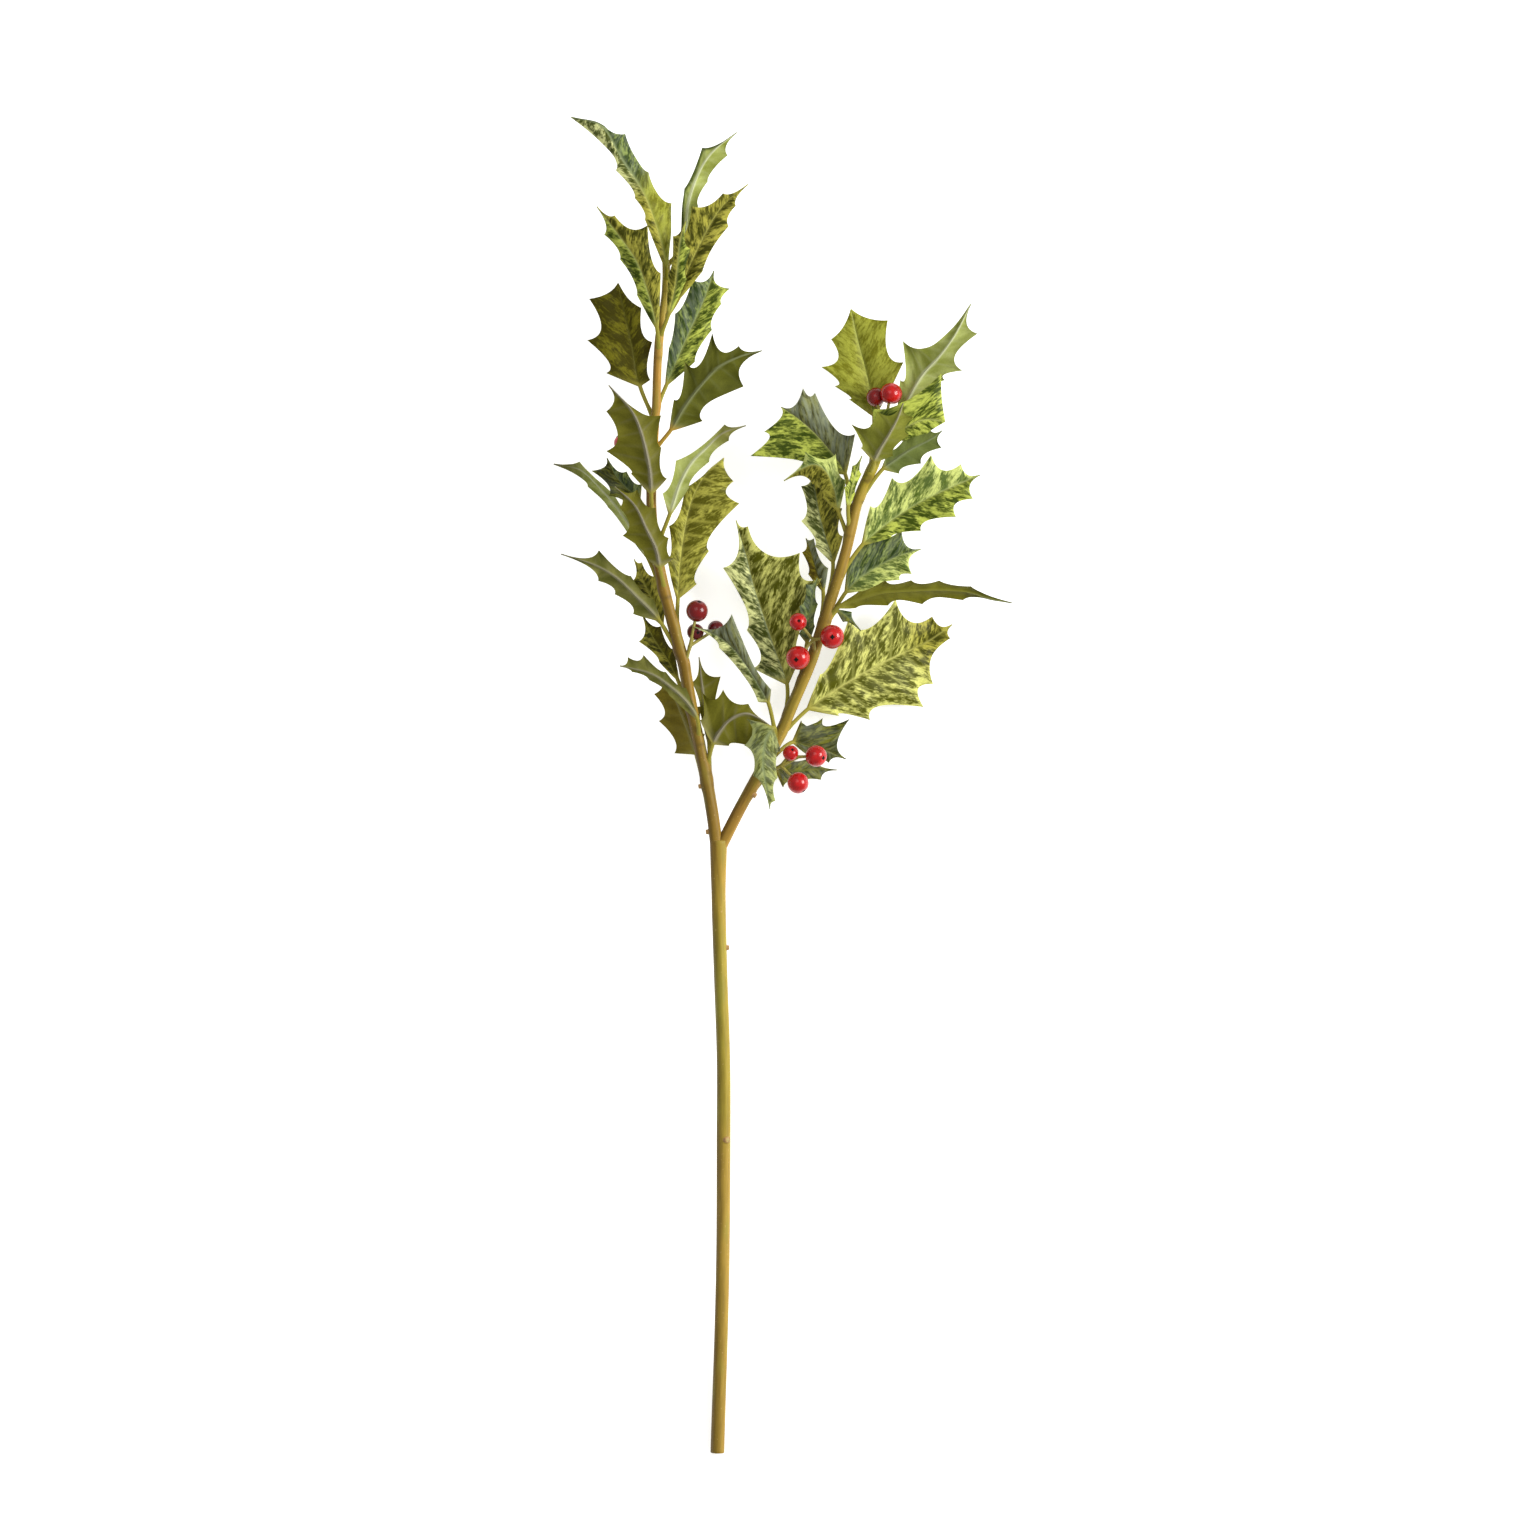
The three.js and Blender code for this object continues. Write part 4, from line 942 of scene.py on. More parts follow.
    def margin_anchors(self, side: int) -> tuple[np.ndarray, np.ndarray]:
        """The points that one margin passes, each tied to a share of the midrib.

        Args:
            side: -1 for the left margin and 1 for the right.

        Returns:
            The shares, and the points in mm.
        """
        leaf, rib = self.leaf, self.rib
        rise = side * math.tan(math.radians(leaf.roll)) + math.tan(math.radians(leaf.fold))
        shares = [self.base]
        points = [rib.at(self.base) + self.right_of(self.base) * side * self.stalk_half_width]
        for index, (x, y) in enumerate(leaf.left if side < 0 else leaf.right):
            near = rib.nearest(x, y)
            foot = rib.at(near)
            reach = math.hypot(x - foot[0], y - foot[1])
            wave = leaf.wave * (-1 if index % 2 else 1)
            lagging = near - self.vein_lean * reach / rib.length
            shares.append(max(lagging, shares[-1] + self.spine_spacing))
            points.append(np.array([x, y, foot[2] + rise * reach + wave]))
        shares.append(1.0)
        points.append(rib.at(1.0) + self.right_of(1.0) * side * self.tip_half_width)
        return np.array(shares), np.array(points)

    def margin(self, side: int) -> np.ndarray:
        """The margin beside each row: quadratic arcs from spine to spine, drawn in to the rib.

        Args:
            side: -1 for the left margin and 1 for the right.

        Returns:
            A point for each row, in mm.
        """
        shares, points = self.margins[side]
        last = len(shares) - 1
        following = np.clip(np.searchsorted(shares, self.rows), 1, last)
        cuts = np.full(last + 1, self.leaf.cut)
        cuts[last], cuts[1] = self.leaf.tip_cut, self.base_swell
        start, end = shares[following - 1], shares[following]
        a, c = points[following - 1], points[following]
        towards = self.rib.at(start + (end - start) * self.sinus_share)
        b = (a + c) / 2
        pull = (towards - b) * cuts[following][:, None]
        longest = self.sinus_limit * np.linalg.norm(c - a, axis=1, keepdims=True)
        b = b + unit(pull) * np.minimum(np.linalg.norm(pull, axis=1, keepdims=True), longest)
        t = ((self.rows - start) / (end - start)).clip(0, 1)[:, None]
        arc = a * (1 - t) ** 2 + 2 * b * t * (1 - t) + c * t**2
        outward = self.right_of(self.rows) * side
        reach = np.sum((arc - self.rib.at(self.rows)) * outward, axis=1)
        arc = arc + outward * np.maximum(0, self.tip_half_width - reach)[:, None]
        flare = 1 + self.stalk_flare * (1 - smoothstep(0, 0.5, self.rows / self.base))
        stalk = self.rib.at(self.rows) + outward * (self.stalk_half_width * flare)[:, None]
        return np.where(self.rows[:, None] <= self.base, stalk, arc)

    def shell(self) -> Shell:
        """Builds the closed surface: rib + |v| * (margin - rib), and its relief along its normal.

        Returns:
            The blade's shell, with material 0 on the glossy face and 1 on the underside.
        """
        rows = self.rows
        spread = np.linspace(-1, 1, 2 * self.half_columns + 1)
        v = np.sign(spread) * np.abs(spread) ** self.column_power
        t = np.abs(v)[None, :]
        side = (v > 0).astype(int)
        middle = self.rib.at(rows)
        arms = np.stack([self.margin(-1) - middle, self.margin(1) - middle], 1)
        reach = np.linalg.norm(arms, axis=2)[:, side]
        sheet = middle[:, None] + arms[:, side] * t[..., None]
        normal = unit(np.cross(np.gradient(sheet, axis=1), np.gradient(sheet, axis=0)))
        run = rows[:, None] * self.rib.length
        vein = 0.5 + 0.5 * np.cos(2 * np.pi * run / self.vein_pitch)
        above, below = self.relief(t, side, reach, run, vein)
        upper = sheet + normal * above[..., None]
        lower = sheet + normal * below[..., None]
        lower[..., 2] = np.maximum(lower[..., 2], self.floor_gap)
        upper[..., 2] = np.maximum(upper[..., 2], lower[..., 2] + self.least_thickness)

        quads = self.faces(len(rows), len(v))
        cells = len(rows) * len(v)
        on_lower = (quads >= cells).all(axis=1)
        index = quads % cells
        is_left = (index % len(v)).mean(axis=1) < self.half_columns
        underside = on_lower if self.leaf.face is Face.UPPER else ~on_lower
        uv = self.pattern(run, reach * t, index, is_left)
        tints = self.tints(reach, t, vein, index, is_left, on_lower)
        points = np.vstack([upper.reshape(-1, 3), lower.reshape(-1, 3)])
        return Shell(points, quads, uv, underside.astype(int), tints=tints)

    def relief(
        self,
        t: np.ndarray,
        side: np.ndarray,
        reach: np.ndarray,
        run: np.ndarray,
        vein: np.ndarray,
    ) -> tuple[np.ndarray, np.ndarray]:
        """How far the two faces lie from the sheet, along its normal.

        Both get a camber of 4t(1 - t), pillows between the side veins and a ruffle that grows as
        t cubed. Each stands off by half the thickness, which goes from a round stalk to a thin
        blade. The midrib is a bell-shaped ridge below and a groove above.

        Args:
            t: share of the way from the midrib to the margin.
            side: 0 for the left half and 1 for the right.
            reach: width of the half blade at each point, in mm.
            run: distance along the midrib, in mm.
            vein: 1 on a side vein and 0 between two.

        Returns:
            The upper face's distances and the lower face's.
        """
        glossy = self.leaf.face.value
        blade = smoothstep(self.base, self.base + self.opening_share, self.rows)[:, None]
        bulge = np.minimum(self.camber * reach, self.camber_limit) * 4 * t * (1 - t)
        pillow = self.pillow * np.sin(np.pi * t) ** self.pillow_power * (1 - vein)
        # No two margins match: each leaf's ripples start elsewhere, and each side's too.
        phase = self.leaf_phase * self.order + self.side_phase * side[None, :]
        wave = self.ruffle * t**3 * np.sin(2 * np.pi * run / self.ruffle_pitch + phase)
        wave = wave * smoothstep(0, self.ruffle_from, reach)
        lift = blade * (glossy * (bulge + pillow) + wave)
        round_stalk = self.stalk_half_depth * np.sqrt(np.clip(1 - t**2, 0.01, 1))
        flat = self.half_thickness + (self.edge_thickness - self.half_thickness) * t**2
        half = round_stalk + (flat - round_stalk) * blade
        lateral = reach * t
        ridge = np.exp(-((lateral / self.rib_spread) ** 2))
        ridge = blade * self.rib_rise * self.taper * ridge
        groove = np.exp(-((lateral / self.groove_spread) ** 2))
        groove = -blade * self.rib_sink * self.taper * groove
        over, under = (groove, ridge) if glossy > 0 else (ridge, groove)
        return lift + half + over, lift - half - under

    @staticmethod
    def faces(rows: int, columns: int) -> np.ndarray:
        """The faces of the upper and lower grids and of the narrow wall between their borders.

        Args:
            rows: rows of each grid.
            columns: points in a row.

        Returns:
            Four point numbers for each face. The lower grid's points follow the upper grid's.
        """
        cells = rows * columns
        top = grid_quads(rows, columns)
        index = np.arange(cells).reshape(rows, columns)
        below = index + cells
        left = [index[:-1, 0], index[1:, 0], below[1:, 0], below[:-1, 0]]
        right = [index[:-1, -1], below[:-1, -1], below[1:, -1], index[1:, -1]]
        start = [index[0, :-1], below[0, :-1], below[0, 1:], index[0, 1:]]
        end = [index[-1, :-1], index[-1, 1:], below[-1, 1:], below[-1, :-1]]
        walls = [np.stack(wall, -1) for wall in (left, right, start, end)]
        return np.vstack([top, top[:, ::-1] + cells, *walls])

    def pattern(
        self, run: np.ndarray, lateral: np.ndarray, index: np.ndarray, is_left: np.ndarray
    ) -> np.ndarray:
        """Pattern coordinates: one axis runs along the marbling's streaks and one across them.

        With a the distance from the midrib and b the place along it that a forward-leaning vein
        has reached, they are b cos w + a sin w and b sin w - a cos w, where w is streak_turn.

        Args:
            run: distance along the midrib, in mm.
            lateral: distance from the midrib, in mm.
            index: each face's points, counted in one grid.
            is_left: whether a face is on the left half.

        Returns:
            Two coordinates for each corner.
        """
        forward = run + self.vein_lean * lateral
        turn = math.radians(self.streak_turn)
        along = forward * math.cos(turn) + lateral * math.sin(turn)
        across = forward * math.sin(turn) - lateral * math.cos(turn)
        grid = np.stack([along, across], -1).reshape(-1, 2)
        corner = grid[index] + np.array(self.pattern_step) * (self.order + 1)
        corner += np.where(is_left, 0.0, self.half_step)[:, None, None]
        return corner * UV_PER_MM

    def tints(
        self,
        reach: np.ndarray,
        t: np.ndarray,
        vein: np.ndarray,
        index: np.ndarray,
        is_left: np.ndarray,
        on_lower: np.ndarray,
    ) -> dict[str, np.ndarray]:
        """The colours and shares that the leaf's two finishes read at each corner.

        Args:
            reach: width of the half blade at each point, in mm.
            t: share of that width.
            vein: 1 on a side vein and 0 between two.
            index: each face's points, counted in one grid.
            is_left: whether a face is on the left half.
            on_lower: whether a face is on the lower grid.

        Returns:
            pale, deep and rib_tone, and mix, which holds cover, the painted sheen, rib and vein.
        """
        leaf, rows, taper = self.leaf, self.rows[:, None], self.taper
        lateral = reach * t
        stalk = 1 - smoothstep(self.base, self.base + self.stalk_fade, rows)
        edge = 1 - smoothstep(*self.pale_edge, (1 - t) * reach)
        # The midrib's line is fine on the glossy face and broad on the underside.
        strength, least, more = self.narrow_rib
        narrow = strength * np.exp(-((lateral / (least + more * taper)) ** 2))
        strength, least, more = self.broad_rib
        broad = strength * np.exp(-((lateral / (least + more * taper**2)) ** 4))
        narrow, broad = np.maximum(narrow, stalk), np.maximum(broad, stalk)
        veins = vein**self.vein_power * (1 - t**3) * (1 - stalk)
        past = smoothstep(leaf.turn - self.look_blend, leaf.turn + self.look_blend, rows)
        edge, broad, narrow, veins, stalk, far = (
            np.broadcast_to(values, lateral.shape).reshape(-1)[index]
            for values in (edge, broad, narrow, veins, stalk, past)
        )

        upper_up = leaf.face is Face.UPPER
        hidden = [Look.SAGE_BACK if upper_up else Look.MARBLED] * 2
        kind = np.where(is_left, 0, 1) + np.where(on_lower, 2, 0)
        looks = HalfLooks(
            [*leaf.looks, *hidden], [*(leaf.tip_looks or leaf.looks), *hidden], kind, far
        )
        tone = np.random.default_rng(1000 + self.order).uniform(*self.tone_range)
        rib = np.where((on_lower == upper_up)[:, None], broad, narrow)
        rib_tone = looks.colour("rib", tone)
        rib_tone += (np.array(linear(leaf.stalk)) - rib_tone) * stalk[..., None]
        cover = looks.number("cover") - looks.number("margin") * edge
        # The second share is the painted sheen, grey patches that stand in for the lamps'
        # reflection.
        shares = [cover, looks.number("painted_sheen"), rib, veins * looks.number("vein")]
        return {
            "pale": looks.colour("pale", tone),
            "deep": looks.colour("deep", tone),
            "rib_tone": rib_tone,
            "mix": np.stack(shares, -1),
        }


@dataclass
class Bark:
    """The forked twig: three tapering tubes and the stubs of shed stalks, united in one skin.

    Sizes are in mm. A node is the swelling under a stalk, and its ring is the fine scar below.
    """

    sides: int = 28
    row_step: float = 1.5
    rib_height: float = 0.07
    fine_rib_share: float = 0.6
    node_height: float = 0.55
    node_half_length: float = 3.2
    node_half_turn: float = 55.0
    node_drop: float = 2.5
    ring_height: float = 0.12
    ring_half_length: float = 0.6
    ring_drop: float = 5.5
    ring_shade: float = 0.8
    rim: float = 0.35
    # Painted shade and painted light: the bark is browner on its left side, away from the key
    # light, and more golden on its right side, which faces it.
    painted_shade_brown: str = "#4a340a"
    painted_shade_strength: float = 0.75
    painted_light_gold: str = "#b68a3c"
    painted_light_strength: float = 0.3
    stub_sides: int = 16
    stub_root: float = 2.0
    stub_profile: tuple[tuple[float, float], ...] = (
        (0, 1.35), (0.3, 1.25), (0.6, 1.0), (0.9, 0.85), (0.97, 0.75), (1.0, 0.5)
    )
    stub_tone: str = "#b9905a"
    stub_mark: float = 0.2
    crease: float = 60.0

    def stretch(self, twig: Twig) -> Shell:
        """One stretch of bark.

        Its radius is the twig's, plus low lengthwise ribs (sines of the angle), plus a swelling
        under each stalk (a bell curve in y and in the angle) with a fine ring below it.

        Args:
            twig: the stretch.

        Returns:
            A closed tube, with its far ends a little rounded off.
        """
        path = twig.path
        inset = self.rim / path.length
        shares = np.linspace(0, 1, int(path.length / self.row_step))
        shares = np.unique(np.concatenate([shares, [inset, 1 - inset]]))
        y = path.at(shares)[:, 1][:, None]
        angle = (2 * np.pi * np.arange(self.sides + 1) / self.sides)[None, :]
        radius = twig.radius_at(y) + np.zeros_like(angle)
        radius = radius + self.rib_height * np.sin(3 * angle + 0.05 * y)
        fine = self.fine_rib_share * self.rib_height
        radius = radius + fine * np.sin(7 * angle - 0.031 * y + 1.7)
        shade = np.zeros_like(radius)
        for stalk in (*LEAVES, *CLUSTERS):
            if stalk.twig != twig.name:
                continue
            away = np.angle(np.exp(1j * (angle - math.radians(stalk.clock))))
            turn = np.exp(-((away / math.radians(self.node_half_turn)) ** 2))
            bell = np.exp(-(((y - stalk.at + self.node_drop) / self.node_half_length) ** 2))
            ring = np.exp(-(((y - stalk.at + self.ring_drop) / self.ring_half_length) ** 2))
            radius = radius + self.node_height * bell * turn + self.ring_height * ring * turn
            shade = np.maximum(shade, self.ring_shade * ring * turn)
        end = np.minimum(shares, 1 - shares)[:, None] * path.length
        radius = radius - self.rim * np.clip(1 - end / inset / path.length, 0, 1)
        tints = {
            "bark_tone": self.tone(twig, y, angle),
            "bark_mark": np.repeat(shade[..., None], 4, axis=2),
        }
        finish = 1 if twig.name == "stem" else 0
        return tube(path, radius[:, :-1], shares, self.sides, Z_AXIS, tints, 0, finish)

    def tone(self, twig: Twig, y: np.ndarray, angle: np.ndarray) -> np.ndarray:
        """Bark colour: blended between stops along a stretch, with painted shade and painted
        light.

        The left side, away from the key light, is painted browner, and the right side, which faces
        it, is painted more golden.

        With a the angle from the sunny side, the brown's share is ((1 - cos a) / 2) squared and
        the gold's is ((1 + cos a) / 2) squared, each times its strength.

        Args:
            twig: the stretch.
            y: each row's place.
            angle: each side's angle.

        Returns:
            A linear colour for each row and side.
        """
        stops = np.array([at for at, _ in twig.colours])
        shades = np.array([linear(code) for _, code in twig.colours])
        flat = np.stack([np.interp(y[:, 0], stops, shades[:, k]) for k in range(4)], -1)
        brown, gold = np.array(linear(self.painted_shade_brown)), np.array(linear(self.painted_light_gold))
        shade = self.painted_shade_strength * ((1 - np.cos(angle)) / 2)[..., None] ** 2
        sun = self.painted_light_strength * ((1 + np.cos(angle)) / 2)[..., None] ** 2
        return flat[:, None] * (1 - shade - sun) + brown * shade + gold * sun

    def stub(self, stub: Stub) -> Shell:
        """The stub of a shed stalk, a short cone that ends in a scar.

        Args:
            stub: the stub.

        Returns:
            A closed cone, rooted in the bark.
        """
        twig = TWIGS[stub.twig]
        ends = [twig.off_bark(stub.y, stub.clock, off) for off in (-self.stub_root, stub.length)]
        shares, widths = np.array(self.stub_profile, float).T
        ring = np.repeat(stub.radius * widths[:, None], self.stub_sides, axis=1)
        size = (len(shares), self.stub_sides + 1)
        tints = {
            "bark_tone": np.tile(np.array(linear(self.stub_tone)), (*size, 1)),
            "bark_mark": np.full((*size, 4), self.stub_mark),
        }
        return tube(Path(np.array(ends)), ring, shares, self.stub_sides, Y_AXIS, tints, 0, 1)

    def build(self, skin: bpy.types.Material, cut: bpy.types.Material) -> bpy.types.Object:
        """Unites the stretches and stubs.

        Args:
            skin: the bark's material.
            cut: the material of the cut end and the scars.

        Returns:
            The bark piece.
        """
        shells = [self.stretch(twig) for twig in TWIGS.values()]
        shells += [self.stub(stub) for stub in STUBS]
        parts = []
        for index, shell in enumerate(shells):
            mesh = shell.mesh(f"bark_part_{index}", [skin, cut], self.crease)
            parts.append(bpy.data.objects.new(mesh.name, mesh))
        group = bpy.data.collections.new("bark_parts")
        bpy.context.scene.collection.children.link(group)
        for part in parts[1:]:
            group.objects.link(part)
        bpy.context.scene.collection.objects.link(parts[0])
        union = parts[0].modifiers.new("united", "BOOLEAN")
        union.operation, union.solver = "UNION", "EXACT"
        union.operand_type, union.collection = "COLLECTION", group
        graph = bpy.context.evaluated_depsgraph_get()
        mesh = bpy.data.meshes.new_from_object(parts[0].evaluated_get(graph))
        for part in parts:
            bpy.data.objects.remove(part)
        bpy.data.collections.remove(group)
        mesh.name = "bark"
        return place("bark", mesh, "stem")


@dataclass
class BerryBunch:
    """The berries of one cluster on their stalk. Sizes are in mm, and angles in radians."""

    cluster: Cluster
    order: int

    # The stalk: where it leaves the twig, how it arches, and how much stouter it is at its ends.
    stalk_radius: float = 0.75
    stalk_sides: int = 12
    stalk_step: float = 0.9
    stalk_swell: float = 0.25
    stalk_arch: float = 0.8
    main_stoutness: float = 1.25
    root_depth: float = 1.0
    root_drop: float = 1.5

    # The berry: its grid, the dimples at its poles and its slight lumps, as shares of its radius.
    rings: int = 26
    sides: int = 32
    pole_gap: float = 0.03
    dimple: float = 0.07
    dimple_spreads: tuple[float, float] = (0.3, 0.35)
    lump: float = 0.006

    # The crown: its size on a berry of usual_radius, and its profile as shares out and up.
    usual_radius: float = 5.5
    crown_radius: float = 1.2
    crown_height: float = 0.28
    crown_profile: tuple[tuple[float, float], ...] = (
        (0.02, 1.0), (0.35, 0.8), (0.7, 0.85), (0.92, 0.5), (1.0, 0.1), (0.8, -0.6)
    )
    crown_lobes: int = 4
    lobe_depth: float = 0.2
    crease: float = 70.0

    def build(self, finishes: list[bpy.types.Material]) -> bpy.types.Object:
        """Builds the bunch.

        Args:
            finishes: the berry's skin, the dry crown and the stalk.

        Returns:
            The bunch as one piece.
        """
        cluster = self.cluster
        twig = TWIGS[cluster.twig]
        inner = twig.off_bark(cluster.at - self.root_drop, cluster.clock, -self.root_depth)
        forks = [np.array(fork, float) for fork in cluster.forks]
        shells = [self.stalk([inner, *forks], self.main_stoutness)]
        for index, berry in enumerate(cluster.berries):
            centre = np.array(berry.centre, float)
            fork = forks[berry.fork]
            bend = (fork + centre) / 2 + self.stalk_arch * Z_AXIS
            shells += [self.stalk([fork, bend, centre], 1.0), *self.berry(berry, index)]
        name = f"bunch_{cluster.name}"
        mesh = Shell.joined(shells).mesh(name, finishes, self.crease)
        return place(name, mesh, f"berries_{cluster.name}")

    def stalk(self, points: list[np.ndarray], stout: float) -> Shell:
        """A thin round stalk through points, a little thicker at its two ends.

        Args:
            points: the places that it passes.
            stout: how much thicker it is than a berry's own stalk.

        Returns:
            A closed tube.
        """
        path = Path(np.array(points))
        shares = np.linspace(0, 1, max(6, int(path.length / self.stalk_step)))
        swell = 1 + self.stalk_swell * np.abs(2 * shares - 1) ** 4
        radius = np.repeat((self.stalk_radius * stout * swell)[:, None], self.stalk_sides, 1)
        heading = path.at(1.0) - path.at(0.0)
        reference = np.eye(3)[np.argmin(np.abs(heading))]
        tints = {"skin_darkening": np.zeros((len(shares), self.stalk_sides + 1, 4))}
        return tube(path, radius, shares, self.stalk_sides, reference, tints, 2, 2)

    def berry(self, berry: Berry, index: int) -> list[Shell]:
        """A berry and its crown.

        The radius is constant but for a dimple at each pole, which falls off as a bell curve of
        the angle from it. The crown is a low lobed dome on the far pole.

        Args:
            berry: the berry.
            index: its number in the bunch.

        Returns:
            The shells of the skin and of the crown.
        """
        size = berry.across / 2
        near, far = self.dimple_spreads
        theta = np.linspace(self.pole_gap, np.pi - self.pole_gap, self.rings)[:, None]
        phi = (2 * np.pi * np.arange(self.sides + 1) / self.sides)[None, :]
        dent = np.exp(-((theta / near) ** 2)) + np.exp(-(((np.pi - theta) / far) ** 2))
        lumps = self.lump * np.sin(2 * phi + index + self.order) * np.sin(theta) ** 2
        radius = size * (1 - self.dimple * dent + lumps)
        skin = self.lathe(berry, radius * np.cos(theta), radius * np.sin(theta), phi, 0)
        out, rise = np.array(self.crown_profile).T[:, :, None]
        lobes = 1 - self.lobe_depth + self.lobe_depth * np.cos(self.crown_lobes * phi)
        reach = self.crown_radius * (size / self.usual_radius) * lobes * out
        height = size * (1 - self.dimple) + self.crown_height * rise
        return [skin, self.lathe(berry, height, reach, phi, 1)]

    def lathe(
        self, berry: Berry, height: np.ndarray, reach: np.ndarray, phi: np.ndarray, finish: int
    ) -> Shell:
        """Turns a profile about a berry's axis: centre + axis * height + ring(phi) * reach.

        Args:
            berry: the berry, whose crown is where its axis points.
            height: how far each row lies along the axis.
            reach: how far each point lies from the axis.
            phi: each column's angle.
            finish: the material's number.

        Returns:
            A closed shell.
        """
        axis = unit(np.array(berry.crown, float))
        side = unit(np.cross(axis, np.eye(3)[np.argmin(np.abs(axis))]))
        other = np.cross(axis, side)
        ring = side * np.cos(phi)[..., None] + other * np.sin(phi)[..., None]
        height = np.broadcast_to(height, reach.shape)
        points = np.array(berry.centre) + axis * height[..., None] + ring * reach[..., None]
        turn = np.broadcast_to(phi / (2 * np.pi), reach.shape)
        down = np.broadcast_to(np.linspace(0, 1, len(points))[:, None], reach.shape)
        tints = {"skin_darkening": np.full((*reach.shape, 4), berry.skin_darkening)}
        return ringed(points[:, :-1], np.stack([turn, down], -1), tints, finish, finish)


def place(name: str, mesh: bpy.types.Mesh, node: str) -> bpy.types.Object:
    """Puts a piece in the scene.

    Args:
        name: the piece's name.
        mesh: its mesh, in the sprig's frame.
        node: the CAD node that it stands for.

    Returns:
        The piece.
    """
    piece = bpy.data.objects.new(name, mesh)
    bpy.context.scene.collection.objects.link(piece)
    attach(piece, BODY)
    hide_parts(node)
    log.info("%s: %d faces, stands for %s", name, len(mesh.polygons), node)
    return piece


# ---- Finishes ----


class Nodes:
    """The shader nodes of one material."""

    def __init__(self, tree: bpy.types.NodeTree) -> None:
        """Starts with no nodes.

        Args:
            tree: the material's node tree.
        """
        tree.nodes.clear()
        self.tree = tree

    def add(
        self, kind: str, inputs: dict | None = None, **settings: object
    ) -> bpy.types.NodeOutputs:
        """Adds a shader node.

        Args:
            kind: the node's type, without the ShaderNode that it starts with.
            inputs: for each socket, by name or number, a value, or an output socket to link.
            settings: properties of the node.

        Returns:
            The node's outputs.
        """
        node = self.tree.nodes.new(f"ShaderNode{kind}")
        for name, value in settings.items():
            setattr(node, name, value)
        for key, value in (inputs or {}).items():
            if isinstance(value, Socket):
                self.tree.links.new(value, node.inputs[key])
            else:
                node.inputs[key].default_value = value
        return node.outputs

    def patches(
        self, place_in: Socket, size: tuple[float, float], detail: float
    ) -> Socket:
        """Noise in patches of a real size.

        Args:
            place_in: the pattern coordinates, in units of 100 mm.
            size: the length and width of one patch, in mm.
            detail: how many finer layers the noise has.

        Returns:
            The socket that holds the noise, from 0 to 1.
        """
        scale = (1 / (size[0] * UV_PER_MM), 1 / (size[1] * UV_PER_MM), 1.0)
        mapped = self.add("Mapping", {"Vector": place_in, "Scale": scale})[0]
        inputs = {"Vector": mapped, "Scale": 1.0, "Detail": detail, "Roughness": 0.6}
        return self.add("TexNoise", inputs)["Fac"]

    def specks(self, scale: float, detail: float) -> Socket:
        """Noise through the piece's solid.

        Args:
            scale: how many specks there are to a metre.
            detail: how many finer layers the noise has.

        Returns:
            The socket that holds the noise, from 0 to 1.
        """
        spot = self.add("TexCoord")["Object"]
        return self.add("TexNoise", {"Vector": spot, "Scale": scale, "Detail": detail})["Fac"]

    def layered(self, colour: object, *layers: tuple) -> Socket:
        """Lays colours over one another, each by its share: colour + share * (layer - colour).

        Args:
            colour: the lowest colour, as a value or a socket.
            layers: the share and colour of each, and MULTIPLY if it multiplies those below.

        Returns:
            The socket that holds the colour.
        """
        for share, layer, *blend in layers:
            inputs = {0: share, 6: colour, 7: layer}
            way = blend[0] if blend else "MIX"
            colour = self.add("Mix", inputs, data_type="RGBA", blend_type=way)[2]
        return colour


@dataclass(frozen=True)
class Finish:
    """A material made of shader nodes; each kind of finish paints itself.

    roughness and ior set its gloss, and bump is its relief's strength and its depth in mm.
    """

    name: str
    roughness: float = 0.5
    ior: float = 1.45
    bump: tuple[float, float] = (0.4, 0.1)

    def paint(self, nodes: Nodes) -> tuple[Socket, Socket | None]:
        """Adds the nodes of the colour and the relief.

        Args:
            nodes: the material's nodes.

        Returns:
            The socket of the colour, and that of the relief's height, or None if it is flat.
        """
        raise NotImplementedError

    def extras(self) -> dict[str, object]:
        """The shader's other settings."""
        return {}

    def build(self) -> bpy.types.Material:
        """Makes the material.

        Returns:
            The material, with its paint linked to a shader.
        """
        material = bpy.data.materials.new(self.name)
        material.use_nodes = True
        nodes = Nodes(material.node_tree)
        colour, height = self.paint(nodes)
        inputs = {"Roughness": self.roughness, "IOR": self.ior, "Base Color": colour}
        if height is not None:
            strength, depth = self.bump
            relief = {"Strength": strength, "Distance": depth * MM, "Height": height}
            inputs["Normal"] = nodes.add("Bump", relief)["Normal"]
        shader = nodes.add("BsdfPrincipled", {**inputs, **self.extras()})
        nodes.add("OutputMaterial", {"Surface": shader["BSDF"]})
        return material


@dataclass(frozen=True)
class LeafFinish(Finish):
    """A finish of a blade, which reads the colours and shares at the blade's corners."""

    @staticmethod
    def blade(nodes: Nodes) -> tuple[dict[str, Socket], ...]:
        """Reads the data that a blade holds.

        Args:
            nodes: the material's nodes.

        Returns:
            The sockets of uv, pale, deep and rib_tone, and those of cover, painted sheen, rib and
            vein.
        """
        colours = {"uv": nodes.add("UVMap", uv_map="UVMap")["UV"]}
        for name in ("pale", "deep", "rib_tone"):
            colours[name] = nodes.add("Attribute", attribute_name=name)["Color"]
        mix = nodes.add("Attribute", attribute_name="mix")
        parts = nodes.add("SeparateColor", {0: mix["Color"]})
        shares = {"cover": parts[0], "painted_sheen": parts[1], "rib": parts[2], "vein": mix["Alpha"]}
        return colours, shares


